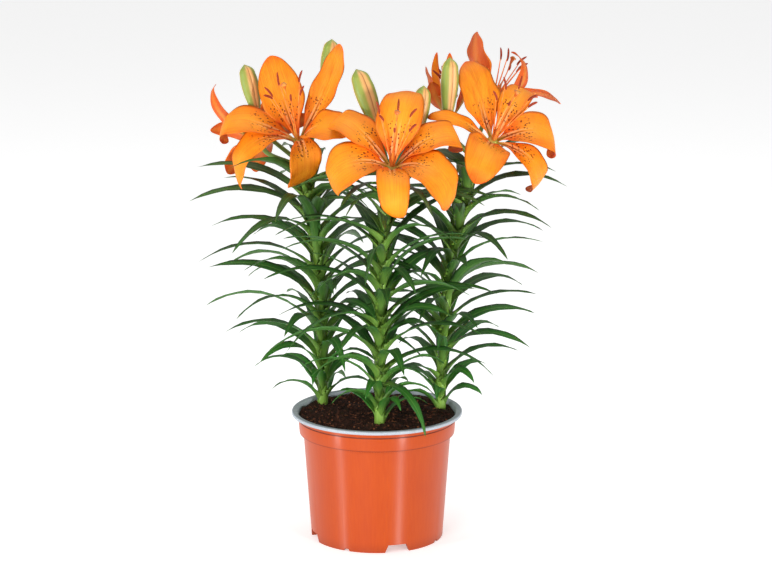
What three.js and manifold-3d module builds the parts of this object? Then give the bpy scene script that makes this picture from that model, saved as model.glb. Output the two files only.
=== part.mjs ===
// Potted lily: three leafy stems with orange blooms and green buds in a plastic pot.
// Millimetres, +Z up. The pot stands on z = 0 with its axis at x = 0, y = 0, and the
// fronts of the main blooms face -Y.

import * as THREE from "three";
import { mergeVertices } from "three/addons/utils/BufferGeometryUtils.js";
import ManifoldModule from "manifold-3d";

const wasm = await ManifoldModule();
wasm.setup();

// Driving sizes of the pot.
const SIDES = 32;
const POT_HEIGHT = 129;
const RIM_RADIUS = 85;
const RIM_INNER_RADIUS = 80;
const RIM_DROP = 3.2;
const COLLAR_RADIUS = 79.3;
const GROOVE_HEIGHT = 120.8;
const COLLAR_FOOT = 106.7;
const COLLAR_FOOT_RADIUS = 77.5;
const WALL_TOP_RADIUS = 73.6;
const FOOT_RADIUS = 66;
const FOOT_WIDTH = 5;
const WALL = 2.2;
const FLOOR_UNDERSIDE = 8.5;
const FLOOR_TOP = 10;
const NOTCH_TURN = 18;
const WIDE_NOTCH = { width: 24, height: 8 };
const SMALL_NOTCH = { width: 6, height: 2.5 };
const DRAIN_COUNT = 6;
const DRAIN_RADIUS = 4;
const DRAIN_CIRCLE = 40;

// Driving sizes of the soil and of the stems that stand in it.
const GAP = 0.3;
const SOIL_TOP = 125;
const SOIL_BUMP = 1.6;
const STEM_SIDES = 6;
const STEM_FOOT = 109;
const STEM_FOOT_RADIUS = 5.4;
const STEM_TOP_RADIUS = 3.8;
const PEDICEL_RADIUS = 2.2;

// Each stem leans as it climbs, its first leaf points to firstLeaf degrees, and leafing
// scales the length of its leaves.
const STEMS = {
  left: { base: [-55, 38], lean: [-18, -4], bend: 3, top: 362, firstLeaf: 75, leafing: 1.07 },
  middle: { base: [3, -35], lean: [9, -8], bend: 3, top: 366, firstLeaf: 20, leafing: 0.97 },
  right: { base: [64, 20], lean: [34, -5], bend: 2.3, top: 374, firstLeaf: 200, leafing: 0.89 },
};

// Leaves climb each stem by the golden angle.
const LEAVES_PER_STEM = 60;
const LEAF_TURN = 137.50776;
const LEAF_START = 126;
const LEAF_TOP_MARGIN = 6;
const LEAF_CROWDING = 1.05;
const LEAF_KEEL = 1.3;
const LEAF_ROOT = 0.78;
const DROOPING_LEAF = {
  z: 163, azimuth: -52, rise: 30, fall: -75, power: 0.8, length: 88, half: 6, sway: 0, roll: 0,
};
const LEAF_STATIONS = [0, 6, 12, 18, 24];
const CURVE_STEPS = 24;

// Room that a leaf keeps from its neighbours, measured between guard balls.
const LEAF_GUARD = 2.4;
const TEPAL_GUARD = 3.2;
const CROWDED_PART = 0.35;
const SHRINKS = [0, 1, 2, 3, 4, 5, 6, 7, 8];
const SWINGS = [0, 8, -8, 16, -16, 24, -24];
const TILTS = [0, 9, -9, 18];

// Each bloom's stamens are that long and spread by spread degrees. Tepals: turn about the bloom's axis, rise
// at the throat, fall at the tip, how late the bend comes, length, half width and sideways
// sway of the tip.
const TEPAL_BASE_RADIUS = 4.2;
const TEPAL_THICKNESS = 1.3;
const TEPAL_STATIONS = [0, 6, 12, 17, 21, 24];
const NECK_LENGTH = 8;
const BLOOMS = {
  middle_front: {
    stem: "middle", throat: [14.7, -62, 385.4], facing: [0.07, -0.54, 0.84], spread: 14, stamens: 66,
    tepals: [
      [80, 67, -47, 1.8, 91, 22, -10], [142, 41, -90, 1.8, 97, 19, -21],
      [193, 39, -140, 1.7, 87, 26.5, -2], [259, 43, -146, 2.2, 94, 16, 11],
      [320, 47, -109, 1.7, 94, 23, -9], [8, 52, -150, 2, 104, 19, 20],
    ],
  },
  left_front: {
    stem: "left", throat: [-77.8, 29, 396.5], facing: [-0.18, -0.48, 0.86], spread: 14, stamens: 66,
    tepals: [
      [130, 58, 35, 1, 86, 22, -7], [191, 39, -145, 2.8, 103, 21, -5],
      [219, 49, -105, 1.3, 97, 19, 15], [311, 66, -155, 0.8, 71, 17, -24],
      [352, 58, -16, 1.1, 77, 23, -8], [59, 34, 67, 0.9, 104, 17, -9],
    ],
  },
  left_rear: {
    stem: "left", throat: [-115, 72, 386], facing: [-0.15, 0.9, 0.4], spread: 12, stamens: 48,
    tepals: [
      [30, 0, 120, 1.8, 88, 6, 14], [114, 50, 0, 1.2, 66, 13, 0],
      [173, 58, -10, 1.5, 62, 12, -3], [260, 60, -18, 2, 72, 14, 10],
      [305, 49, -76, 1.5, 56, 12.5, 7], [1, 58, -30, 1.8, 58, 10, 1],
    ],
  },
  right_front: {
    stem: "right", throat: [113.4, 0, 400.7], facing: [0.3, -0.57, 0.76], spread: 14, stamens: 66,
    tepals: [
      [112, 38, -40, 3.6, 83, 24, -22], [167, 30, -71, 3.2, 74, 10, -13],
      [223, 38, -85, 3, 92, 22, 9], [305, 28, -150, 1.5, 92, 16, 11],
      [341, 52, -137, 2.1, 85, 23, -5], [50, 55, -56, 1, 97, 15, -12],
    ],
  },
  right_rear_left: {
    stem: "right", throat: [72, 70, 413], facing: [-0.12, 0.5, 0.86], spread: 4, stamens: 44,
    tepals: [
      [298, 66, 97, 0.9, 80, 6, -10], [0, 72, 80, 1, 56, 8, 3],
      [80, 36, -60, 1.4, 55, 10, -5], [245, 62, 90, 0.9, 80, 6.5, -6],
      [144, 36, 96, 1, 56, 9, -6], [52, 24, 20, 1, 52, 10, 8],
    ],
  },
  right_rear_right: {
    stem: "right", throat: [116.6, 78, 428], facing: [0.4, 0.5, 0.77], spread: 13, stamens: 48,
    tepals: [
      [204, 44, -36, 1.9, 70, 9, -3], [176, 12, 178, 1.2, 74, 8, -14],
      [100, 20, -70, 1.2, 58, 12, 0], [55, 36, 80, 1.1, 74, 22, -11],
      [252, 60, 7, 1.5, 60, 11, 4], [310, 50, -10, 1.2, 60, 12, 0],
    ],
  },
};

// Stamens spread about the axis, tipped with anthers, around a longer style.
const STYLE_EXTRA = 4;
const ANTHER_LENGTH = 14;
const ANTHER_RADIUS = 1.3;
const FILAMENT_RADIUS = 0.9;

const BUDS = {
  middle_left: { stem: "middle", base: [1.3, -20, 413], tip: [-20, -10, 472.3], radius: 10 },
  middle_right: { stem: "middle", base: [36, -18, 402], tip: [45.6, -14, 457], radius: 8.5 },
  right_front: { stem: "right", base: [68.4, 2, 420], tip: [71, 0, 482.6], radius: 8.6 },
  left_side: { stem: "left", base: [-119.5, 52, 417], tip: [-131.5, 55, 468], radius: 8.5 },
  left_top: { stem: "left", base: [-52, 58, 440], tip: [-44.5, 60, 492.6], radius: 9 },
};
const BUD_SIDES = 9;
const BUD_PROFILE = [[0.1, 0.52], [0.3, 0.8], [0.55, 1], [0.76, 0.95], [0.92, 0.64]];
const BUD_RIB = 0.08;

const COLOURS = {
  pot: { color: 0xe65f23, roughness: 0.38 },
  soil: { color: 0x3a2015, roughness: 1 },
  stem: { color: 0x2f6a26, roughness: 0.5 },
  tepals: { color: 0xfa9628, roughness: 0.55 },
  stamens: { color: 0xc2561e, roughness: 0.6 },
  bud: { color: 0xb4b45a, roughness: 0.55 },
};

const UP = new THREE.Vector3(0, 0, 1);
const degrees = THREE.MathUtils.degToRad;
const vector = (p) => new THREE.Vector3(p[0], p[1], p[2]);

// A repeatable number from 0 to 1 for item i.
function spread(i, salt) {
  const wave = Math.sin(i * 12.9898 + salt * 78.233) * 43758.5453;
  return wave - Math.floor(wave);
}

function smooth(x) {
  const t = Math.min(Math.max(x, 0), 1);
  return t * t * (3 - 2 * t);
}

// A manifold solid from points and triangles, turned right way out.
function solidFrom(points, triangles) {
  let volume = 0;
  for (const [a, b, c] of triangles) {
    volume += points[a].dot(points[b].clone().cross(points[c]));
  }
  const facing = volume < 0 ? triangles.map(([a, b, c]) => [a, c, b]) : triangles;
  const mesh = new wasm.Mesh({
    numProp: 3,
    vertProperties: new Float32Array(points.flatMap((p) => [p.x, p.y, p.z])),
    triVerts: new Uint32Array(facing.flat()),
  });
  mesh.merge();
  return new wasm.Manifold(mesh);
}

// A manifold solid from one of the three.js geometry classes.
function solidFromGeometry(geometry, matrix = new THREE.Matrix4()) {
  const bare = geometry.clone().applyMatrix4(matrix);
  bare.deleteAttribute("normal");
  bare.deleteAttribute("uv");
  const merged = mergeVertices(bare, 1e-4);
  const mesh = new wasm.Mesh({
    numProp: 3,
    vertProperties: new Float32Array(merged.attributes.position.array),
    triVerts: new Uint32Array(merged.index.array),
  });
  mesh.merge();
  return new wasm.Manifold(mesh);
}

// A closed tube through rings of points, ending flat or in a point at each end.
function loft(rings, startPoint, endPoint) {
  const count = rings[0].length;
  const points = rings.flat();
  const triangles = [];
  for (let i = 0; i + 1 < rings.length; i += 1) {
    for (let j = 0; j < count; j += 1) {
      const a = i * count + j;
      const b = i * count + ((j + 1) % count);
      triangles.push([a, b, b + count], [a, b + count, a + count]);
    }
  }
  const first = points.push(startPoint) - 1;
  const last = points.push(endPoint) - 1;
  const offset = (rings.length - 1) * count;
  for (let j = 0; j < count; j += 1) {
    const next = (j + 1) % count;
    triangles.push([first, next, j], [last, offset + j, offset + next]);
  }
  return solidFrom(points, triangles);
}

// A thin blade from matching rows of upper and lower points that share their edges.
// Both faces are split into triangles alike, mirrored about the midrib, and the last
// row is a single point.
function blade(upper, lower, tip) {
  const across = upper[0].length;
  const points = [];
  const indexUpper = upper.map((row) => row.map((p) => points.push(p) - 1));
  const indexLower = lower.map((row, i) => row.map((p, j) => {
    const edge = j === 0 || j === across - 1;
    return edge ? indexUpper[i][j] : points.push(p) - 1;
  }));
  const tipIndex = points.push(tip) - 1;
  const triangles = [];
  const addFace = (rows, flip) => {
    const add = (a, b, c) => triangles.push(flip ? [a, c, b] : [a, b, c]);
    for (let i = 0; i + 1 < rows.length; i += 1) {
      for (let j = 0; j + 1 < across; j += 1) {
        const [a, b, c, d] = [rows[i][j], rows[i][j + 1], rows[i + 1][j + 1], rows[i + 1][j]];
        if (j < (across - 1) / 2) {
          add(a, b, c);
          add(a, c, d);
        } else {
          add(a, b, d);
          add(b, c, d);
        }
      }
    }
    const end = rows[rows.length - 1];
    for (let j = 0; j + 1 < across; j += 1) add(end[j], end[j + 1], tipIndex);
  };
  addFace(indexUpper, false);
  addFace(indexLower, true);
  for (let j = 0; j + 1 < across; j += 1) {
    const [a, b] = [indexUpper[0][j], indexUpper[0][j + 1]];
    const [c, d] = [indexLower[0][j + 1], indexLower[0][j]];
    if (a !== d) triangles.push([a, d, c]);
    if (b !== c) triangles.push([a, c, b]);
  }
  return solidFrom(points, triangles);
}

// A curve that starts at an angle and bends to another, in the plane of outward and
// axis, with its side vector for a blade's width.
function arch({ start, outward, axis, rise, fall, power, length, sway }) {
  const side = axis.clone().cross(outward).normalize();
  const stations = [];
  const place = start.clone();
  for (let i = 0; i <= CURVE_STEPS; i += 1) {
    const t = i / CURVE_STEPS;
    const angle = degrees(rise + (fall - rise) * t ** power);
    const normal = axis.clone().multiplyScalar(Math.cos(angle));
    normal.addScaledVector(outward, -Math.sin(angle));
    stations.push({ t, place: place.clone().addScaledVector(side, sway * t * t), side, normal });
    const middle = degrees(rise + (fall - rise) * ((i + 0.5) / CURVE_STEPS) ** power);
    place.addScaledVector(outward, (Math.cos(middle) * length) / CURVE_STEPS);
    place.addScaledVector(axis, (Math.sin(middle) * length) / CURVE_STEPS);
  }
  return stations;
}

// Stems and pedicels.
function stemRadius(z) {
  const share = Math.min(Math.max((z - SOIL_TOP) / 230, 0), 1);
  return STEM_FOOT_RADIUS + (STEM_TOP_RADIUS - STEM_FOOT_RADIUS) * share;
}

function stemAxis(stem, z) {
  const share = Math.max(z - SOIL_TOP, 0) / (stem.top - SOIL_TOP);
  const lean = share ** stem.bend;
  return new THREE.Vector3(
    stem.base[0] + stem.lean[0] * lean, stem.base[1] + stem.lean[1] * lean, z);
}

// Points of a ring around a path, square to its direction there.
function ringAround(centre, direction, radius, sides) {
  const reference = Math.abs(direction.x) < 0.9 ? new THREE.Vector3(1, 0, 0) : UP;
  const first = reference.clone().addScaledVector(direction, -reference.dot(direction)).normalize();
  const second = direction.clone().cross(first);
  const ring = [];
  for (let j = 0; j < sides; j += 1) {
    const turn = (j * 2 * Math.PI) / sides;
    const point = centre.clone().addScaledVector(first, radius * Math.cos(turn));
    ring.push(point.addScaledVector(second, radius * Math.sin(turn)));
  }
  return ring;
}

function tube(path, radii, sides) {
  const rings = path.map((point, i) => {
    const before = path[Math.max(i - 1, 0)];
    const after = path[Math.min(i + 1, path.length - 1)];
    return ringAround(point, after.clone().sub(before).normalize(), radii[i], sides);
  });
  return loft(rings, path[0], path[path.length - 1]);
}

// A tube of one radius along a curve, cut square at its ends.
function curveTube(curve, radius, steps, sides) {
  const rings = [];
  for (let i = 0; i <= steps; i += 1) {
    const t = i / steps;
    rings.push(ringAround(curve.getPoint(t), curve.getTangent(t), radius, sides));
  }
  return loft(rings, curve.getPoint(0), curve.getPoint(1));
}

function bloomFrame(bloom) {
  const axis = vector(bloom.facing).normalize();
  const across = UP.clone().cross(axis).normalize();
  const above = axis.clone().cross(across);
  return { throat: vector(bloom.throat), axis, across, above };
}

// The head that each pedicel carries: where it ends and which way it points.
function headEnd(head) {
  if (head.throat) {
    const { throat, axis } = bloomFrame(head);
    return { end: throat.addScaledVector(axis, -NECK_LENGTH - GAP), axis };
  }
  const axis = vector(head.tip).sub(vector(head.base)).normalize();
  return { end: vector(head.base).addScaledVector(axis, -GAP), axis };
}

function pedicelCurve(head) {
  const stem = STEMS[head.stem];
  const start = stemAxis(stem, stem.top - 3);
  const { end, axis } = headEnd(head);
  const reach = end.distanceTo(start);
  return new THREE.CubicBezierCurve3(
    start,
    start.clone().addScaledVector(UP, reach * 0.3),
    end.clone().addScaledVector(axis, -reach * 0.4),
    end,
  );
}

function headsOf(name) {
  return [...Object.values(BLOOMS), ...Object.values(BUDS)].filter((head) => head.stem === name);
}

// Tepals.
function tepalHalfWidth(t, half) {
  const fade = Math.max((t - 0.46) / 0.54, 0);
  return half * (0.1 + 0.9 * smooth(t / 0.46)) * Math.max(1 - fade ** 2.4, 0) ** 0.62;
}

function tepalArch(bloom, [turn, rise, fall, power, length, , sway]) {
  const { throat, axis, across, above } = bloomFrame(bloom);
  const outward = across.multiplyScalar(Math.cos(degrees(turn)));
  outward.addScaledVector(above, Math.sin(degrees(turn)));
  const start = throat.addScaledVector(outward, TEPAL_BASE_RADIUS);
  return arch({ start, outward, axis, rise, fall, power, length, sway });
}

// A point of a tepal at station s, v from -1 to 1 across it, raised off its midline.
// The edges rise near the throat and roll back near the tip.
function tepalPoint(s, half, v, raise) {
  const width = tepalHalfWidth(s.t, half);
  const cup = 0.55 * (1 - s.t) ** 1.5 - 0.12 * s.t;
  const point = s.place.clone().addScaledVector(s.side, width * v);
  return point.addScaledVector(s.normal, width * cup * v * v + raise);
}

const ACROSS = [-1, -0.5, 0, 0.5, 1];

function tepalSolid(bloom, tepal) {
  const half = tepal[5];
  const stations = tepalArch(bloom, tepal);
  const kept = TEPAL_STATIONS.map((i) => stations[i]);
  const tip = kept.pop();
  const face = (sign) => kept.map((s) => ACROSS.map((v) => (
    tepalPoint(s, half, v, sign * 0.5 * TEPAL_THICKNESS * (1 - v * v)))));
  return blade(face(1), face(-1), tip.place);
}

// Turns a lathe profile of [radius, height] so that its axis lies along the bloom's.
function bloomLathe(bloom, profile, sides) {
  const { throat, axis, across, above } = bloomFrame(bloom);
  const shape = new THREE.LatheGeometry(profile.map(([r, z]) => new THREE.Vector2(r, z)), sides);
  const place = new THREE.Matrix4().makeBasis(across, axis, above.clone().negate());
  place.setPosition(throat);
  return solidFromGeometry(shape, place);
}

function receptacle(bloom) {
  const profile = [[0, -NECK_LENGTH], [2.6, -NECK_LENGTH], [5.8, 0], [4, 1.6], [3, 0], [0, 0]];
  return bloomLathe(bloom, profile, 6);
}

function bloomTepals(bloom) {
  const petals = bloom.tepals.map((tepal) => tepalSolid(bloom, tepal));
  return wasm.Manifold.union([receptacle(bloom), ...petals]);
}

// Stamens, ovary and style.
function stamenPath(bloom, k) {
  const { throat, axis, across, above } = bloomFrame(bloom);
  const turn = degrees(bloom.tepals[k][0] + 8 * (spread(k, bloom.throat[0]) - 0.5));
  const outward = across.multiplyScalar(Math.cos(turn)).addScaledVector(above, Math.sin(turn));
  const lean = degrees(bloom.spread + 5 * (spread(k, bloom.throat[1]) - 0.5));
  const length = bloom.stamens * (0.94 + 0.12 * spread(k, bloom.throat[2]));
  const path = [0, 0.5, 1].map((t) => {
    const out = 1.3 + length * Math.sin(lean) * t ** 1.15;
    const point = throat.clone().addScaledVector(axis, 1 + length * Math.cos(lean) * t);
    return point.addScaledVector(outward, out);
  });
  return { path, outward, axis };
}

function anther(bloom, k) {
  const { path, outward, axis } = stamenPath(bloom, k);
  const swing = 60 * (spread(k + 7, bloom.throat[0]) - 0.5);
  const along = outward.clone().applyAxisAngle(axis, degrees(swing));
  along.addScaledVector(axis, 1.1 + spread(k + 7, bloom.throat[1])).normalize();
  const turn = new THREE.Quaternion().setFromUnitVectors(UP, along);
  const size = new THREE.Vector3(ANTHER_RADIUS, ANTHER_RADIUS, ANTHER_LENGTH / 2);
  const place = new THREE.Matrix4().compose(path[2], turn, size);
  return solidFromGeometry(new THREE.OctahedronGeometry(1), place);
}

function bloomStamens(bloom) {
  const pieces = [];
  for (let k = 0; k < 6; k += 1) {
    const { path } = stamenPath(bloom, k);
    pieces.push(tube(path, path.map(() => FILAMENT_RADIUS), 3), anther(bloom, k));
  }
  const top = bloom.stamens + STYLE_EXTRA;
  const pistil = [[0, 0.3], [2.5, 0.3], [1.9, 16], [0.9, 19], [0.8, top - 3], [1.9, top],
    [0, top + 1]];
  pieces.push(bloomLathe(bloom, pistil, 5));
  return wasm.Manifold.union(pieces);
}

// Buds, three-sided in section with a rib along each side.
function budSolid(bud) {
  const base = vector(bud.base);
  const tip = vector(bud.tip);
  const axis = tip.clone().sub(base).normalize();
  const rings = BUD_PROFILE.map(([t, share]) => {
    const centre = base.clone().lerp(tip, t);
    return ringAround(centre, axis, 1, BUD_SIDES).map((point, j) => {
      const lobe = 1 + BUD_RIB * Math.cos((3 * j * 2 * Math.PI) / BUD_SIDES);
      return centre.clone().lerp(point, bud.radius * share * lobe);
    });
  });
  const foot = ringAround(base, axis, bud.radius * 0.24, BUD_SIDES);
  return loft([foot, ...rings], base, tip);
}

// Guard balls mark what the leaves must stay clear of. A group holds the balls of one
// thing with its box, its owner, and how far along it each ball lies.
function guardGroup(owner, balls) {
  const box = new THREE.Box3();
  for (const ball of balls) box.expandByPoint(ball.place);
  return { owner, balls, box: box.expandByScalar(10) };
}

function guardsOfHeads() {
  const groups = [];
  for (const bloom of Object.values(BLOOMS)) {
    for (const tepal of bloom.tepals) {
      const balls = [];
      for (const s of tepalArch(bloom, tepal)) {
        for (const v of [-1, -0.66, -0.33, 0, 0.33, 0.66, 1]) {
          balls.push({ place: tepalPoint(s, tepal[5], v, 0), radius: TEPAL_GUARD, t: 1 });
        }
      }
      groups.push(guardGroup("head", balls));
    }
  }
  for (const bud of Object.values(BUDS)) {
    const balls = [];
    for (let i = 0; i <= 12; i += 1) {
      const place = vector(bud.base).lerp(vector(bud.tip), i / 12);
      balls.push({ place, radius: bud.radius + 1, t: 1 });
    }
    groups.push(guardGroup("head", balls));
  }
  for (const head of [...Object.values(BLOOMS), ...Object.values(BUDS)]) {
    const balls = pedicelCurve(head).getPoints(20).map((place, i) => (
      { place, radius: PEDICEL_RADIUS + 1, t: i / 20 }));
    groups.push(guardGroup(head.stem, balls));
  }
  return groups;
}

function guardsOfStems() {
  return Object.entries(STEMS).map(([name, stem]) => {
    const balls = [];
    for (let z = SOIL_TOP; z <= stem.top; z += 4) {
      balls.push({ place: stemAxis(stem, z), radius: stemRadius(z) + 1, t: 0 });
    }
    return guardGroup(name, balls);
  });
}

// Leaves.
function leafHalfWidth(t, half) {
  const taper = Math.max((t - 0.3) / 0.7, 0);
  return half * (0.2 + 0.8 * smooth(t / 0.3)) * (1 - taper ** 1.8) ** 0.9;
}

function leafShape(name, i) {
  const stem = STEMS[name];
  const salt = stem.firstLeaf;
  const climb = i / (LEAVES_PER_STEM - 1);
  const low = 1 - smooth(climb / 0.28);
  const high = smooth((climb - 0.7) / 0.3);
  return {
    z: LEAF_START + (stem.top - LEAF_TOP_MARGIN - LEAF_START) * climb ** LEAF_CROWDING,
    azimuth: stem.firstLeaf + i * LEAF_TURN + 14 * (spread(i, salt) - 0.5),
    rise: 74 - 6 * low - 12 * high + 12 * (spread(i, salt + 1) - 0.5),
    fall: -28 - 17 * low + 30 * (spread(i, salt + 2) - 0.5),
    power: 0.7 + 0.6 * low,
    length: stem.leafing * (126 - 66 * low - 14 * high) * (0.88 + 0.24 * spread(i, salt + 3)),
    half: (6.6 - low + high) * (0.9 + 0.2 * spread(i, salt + 4)),
    sway: 16 * (spread(i, salt + 5) - 0.5),
    roll: 70 * (spread(i, salt + 6) - 0.5),
  };
}

function leafArch(name, leaf) {
  const root = stemAxis(STEMS[name], leaf.z);
  const azimuth = degrees(leaf.azimuth);
  const outward = new THREE.Vector3(Math.cos(azimuth), Math.sin(azimuth), 0);
  root.addScaledVector(outward, LEAF_ROOT * stemRadius(leaf.z));
  const flat = arch({ start: root, outward, axis: UP, ...leaf });
  return flat.map(({ t, place, side, normal }) => {
    const roll = degrees(leaf.roll * smooth(t / 0.5));
    const rolled = side.clone().multiplyScalar(Math.cos(roll));
    const raised = normal.clone().multiplyScalar(Math.cos(roll));
    return {
      t,
      place,
      side: rolled.addScaledVector(normal, Math.sin(roll)),
      normal: raised.addScaledVector(side, -Math.sin(roll)),
    };
  });
}

function leafBalls(leaf, stations) {
  return stations.flatMap((s) => [-0.66, 0, 0.66].map((v) => {
    const place = s.place.clone().addScaledVector(s.side, v * leafHalfWidth(s.t, leaf.half));
    return { place, radius: LEAF_GUARD, t: s.t };
  }));
}

// A leaf clears the rim and the soil.
function clearsPot(balls) {
  return balls.every(({ place, t }) => {
    const reach = Math.hypot(place.x, place.y);
    if (reach > RIM_RADIUS + 6) return place.z > LEAF_GUARD;
    const floor = reach > RIM_INNER_RADIUS - 6 ? POT_HEIGHT + 4 : SOIL_TOP + 4;
    return t < 0.05 || place.z > floor;
  });
}

function clearsGuards(name, balls, groups) {
  const box = new THREE.Box3();
  for (const ball of balls) box.expandByPoint(ball.place);
  for (const group of groups) {
    if (!group.box.intersectsBox(box)) continue;
    const own = group.owner === name;
    for (const guard of group.balls) {
      if (own && guard.t < CROWDED_PART) continue;
      for (const ball of balls) {
        if (own && ball.t < CROWDED_PART) continue;
        const room = guard.radius + ball.radius;
        if (ball.place.distanceToSquared(guard.place) < room * room) return false;
      }
    }
  }
  return true;
}

// The first bend of a leaf that clears everything placed so far: it swings sideways,
// tilts and then shrinks until it is clear, or is left out.
function bendClear(name, leaf, groups) {
  for (const shrink of SHRINKS) {
    for (const swing of SWINGS) {
      for (const tilt of TILTS) {
        const bent = {
          ...leaf,
          azimuth: leaf.azimuth + swing,
          rise: leaf.rise + tilt,
          fall: leaf.fall + tilt,
          length: leaf.length * (1 - 0.06 * shrink),
        };
        const stations = leafArch(name, bent);
        const balls = leafBalls(bent, stations);
        if (clearsPot(balls) && clearsGuards(name, balls, groups)) {
          groups.push(guardGroup(name, balls));
          return { half: bent.half, stations };
        }
      }
    }
  }
  return null;
}

function placeLeaves() {
  const groups = [...guardsOfHeads(), ...guardsOfStems()];
  const placed = { left: [], middle: [bendClear("middle", DROOPING_LEAF, groups)], right: [] };
  for (let i = 0; i < LEAVES_PER_STEM; i += 1) {
    for (const name of Object.keys(STEMS)) {
      const leaf = bendClear(name, leafShape(name, i), groups);
      if (leaf) placed[name].push(leaf);
    }
  }
  return placed;
}

// A leaf blade: flat on top with a keel below, and pointed.
function leafSolid({ half, stations }) {
  const kept = LEAF_STATIONS.map((i) => stations[i]);
  const tip = kept.pop();
  const rings = kept.map((s) => {
    const width = leafHalfWidth(s.t, half);
    return [
      s.place.clone().addScaledVector(s.side, -width),
      s.place.clone().addScaledVector(s.side, width),
      s.place.clone().addScaledVector(s.normal, -LEAF_KEEL),
    ];
  });
  return loft(rings, kept[0].place, tip.place);
}

function stemSolid(name, leaves) {
  const stem = STEMS[name];
  const heights = [STEM_FOOT, SOIL_TOP];
  for (let z = 190; z < stem.top - 20; z += 50) heights.push(z);
  heights.push(stem.top);
  const path = heights.map((z) => stemAxis(stem, z));
  const pieces = [tube(path, heights.map(stemRadius), STEM_SIDES)];
  for (const head of headsOf(name)) {
    pieces.push(curveTube(pedicelCurve(head), PEDICEL_RADIUS, 4, 5));
  }
  for (const leaf of leaves) pieces.push(leafSolid(leaf));
  return wasm.Manifold.union(pieces);
}

// The pot.
function cylinderAt(x, y, bottom, top, radius, sides) {
  const shape = new THREE.CylinderGeometry(radius, radius, top - bottom, sides);
  const place = new THREE.Matrix4().makeRotationX(Math.PI / 2);
  place.setPosition(x, y, (top + bottom) / 2);
  return solidFromGeometry(shape, place);
}

function potNotch({ width, height }, turn) {
  const shape = new THREE.Shape();
  shape.moveTo(-width / 2 - 1, -1);
  shape.lineTo(width / 2 + 1, -1);
  shape.lineTo(width / 2 - height / 3, height);
  shape.lineTo(-width / 2 + height / 3, height);
  const cutter = new THREE.ExtrudeGeometry(shape, { depth: 3 * FOOT_WIDTH, bevelEnabled: false });
  const place = new THREE.Matrix4().makeRotationZ(degrees(turn));
  place.multiply(new THREE.Matrix4().makeTranslation(0, -FOOT_RADIUS + 2 * FOOT_WIDTH, 0));
  place.multiply(new THREE.Matrix4().makeRotationX(Math.PI / 2));
  return solidFromGeometry(cutter, place);
}

function potSolid() {
  const profile = [
    [0, FLOOR_UNDERSIDE],
    [FOOT_RADIUS - FOOT_WIDTH, FLOOR_UNDERSIDE],
    [FOOT_RADIUS - FOOT_WIDTH, 0],
    [FOOT_RADIUS, 0],
    [WALL_TOP_RADIUS, COLLAR_FOOT],
    [COLLAR_FOOT_RADIUS, COLLAR_FOOT],
    [COLLAR_RADIUS - 0.7, GROOVE_HEIGHT - 0.5],
    [COLLAR_RADIUS - 1.3, GROOVE_HEIGHT],
    [COLLAR_RADIUS - 0.5, GROOVE_HEIGHT + 0.6],
    [COLLAR_RADIUS, POT_HEIGHT - RIM_DROP],
    [RIM_RADIUS, POT_HEIGHT - RIM_DROP],
    [RIM_RADIUS, POT_HEIGHT - 0.6],
    [RIM_RADIUS - 0.7, POT_HEIGHT],
    [RIM_INNER_RADIUS + 0.3, POT_HEIGHT],
    [RIM_INNER_RADIUS - 0.8, POT_HEIGHT - 1.2],
    [COLLAR_FOOT_RADIUS - WALL, COLLAR_FOOT + WALL],
    [WALL_TOP_RADIUS - WALL, COLLAR_FOOT - 1],
    [FOOT_RADIUS - WALL, FLOOR_TOP],
    [0, FLOOR_TOP],
  ];
  const lathe = new THREE.LatheGeometry(profile.map(([r, z]) => new THREE.Vector2(r, z)), SIDES);
  const body = solidFromGeometry(lathe, new THREE.Matrix4().makeRotationX(Math.PI / 2));
  const cutters = [];
  for (let k = 0; k < 4; k += 1) {
    cutters.push(potNotch(WIDE_NOTCH, NOTCH_TURN + 90 * k));
    cutters.push(potNotch(SMALL_NOTCH, NOTCH_TURN + 45 + 90 * k));
  }
  for (let k = 0; k < DRAIN_COUNT; k += 1) {
    const turn = (k * 2 * Math.PI) / DRAIN_COUNT;
    const [x, y] = [DRAIN_CIRCLE * Math.cos(turn), DRAIN_CIRCLE * Math.sin(turn)];
    cutters.push(cylinderAt(x, y, FLOOR_UNDERSIDE - 1, FLOOR_TOP + 1, DRAIN_RADIUS, 6));
  }
  return body.subtract(wasm.Manifold.union(cutters));
}

// The soil: it fills the pot and its top is lumpy.
function soilHeight(x, y) {
  const bumps = Math.sin(0.11 * x + 1.3) * Math.cos(0.13 * y) + Math.sin(0.19 * (x + y));
  return SOIL_TOP + 0.5 * SOIL_BUMP * bumps;
}

function soilSolid() {
  const room = GAP + 0.3;
  const edge = RIM_INNER_RADIUS - 3 - room;
  const levels = [
    [FOOT_RADIUS - WALL - room, FLOOR_TOP + GAP],
    [WALL_TOP_RADIUS - WALL - room, COLLAR_FOOT - 1],
    [COLLAR_FOOT_RADIUS - WALL - room, COLLAR_FOOT + WALL + 1],
    [edge, null],
    [0.55 * edge, null],
  ];
  const rings = levels.map(([radius, z]) => {
    const ring = [];
    for (let j = 0; j < SIDES; j += 1) {
      const turn = (j * 2 * Math.PI) / SIDES;
      const [x, y] = [radius * Math.sin(turn), -radius * Math.cos(turn)];
      ring.push(new THREE.Vector3(x, y, z ?? soilHeight(x, y)));
    }
    return ring;
  });
  const bottom = new THREE.Vector3(0, 0, FLOOR_TOP + GAP);
  const body = loft(rings, bottom, new THREE.Vector3(0, 0, soilHeight(0, 0)));
  const holes = Object.values(STEMS).map(({ base }) => {
    const radius = STEM_FOOT_RADIUS + GAP + 0.3;
    return cylinderAt(base[0], base[1], STEM_FOOT - GAP, SOIL_TOP + 20, radius, 12);
  });
  return body.subtract(wasm.Manifold.union(holes));
}

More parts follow.
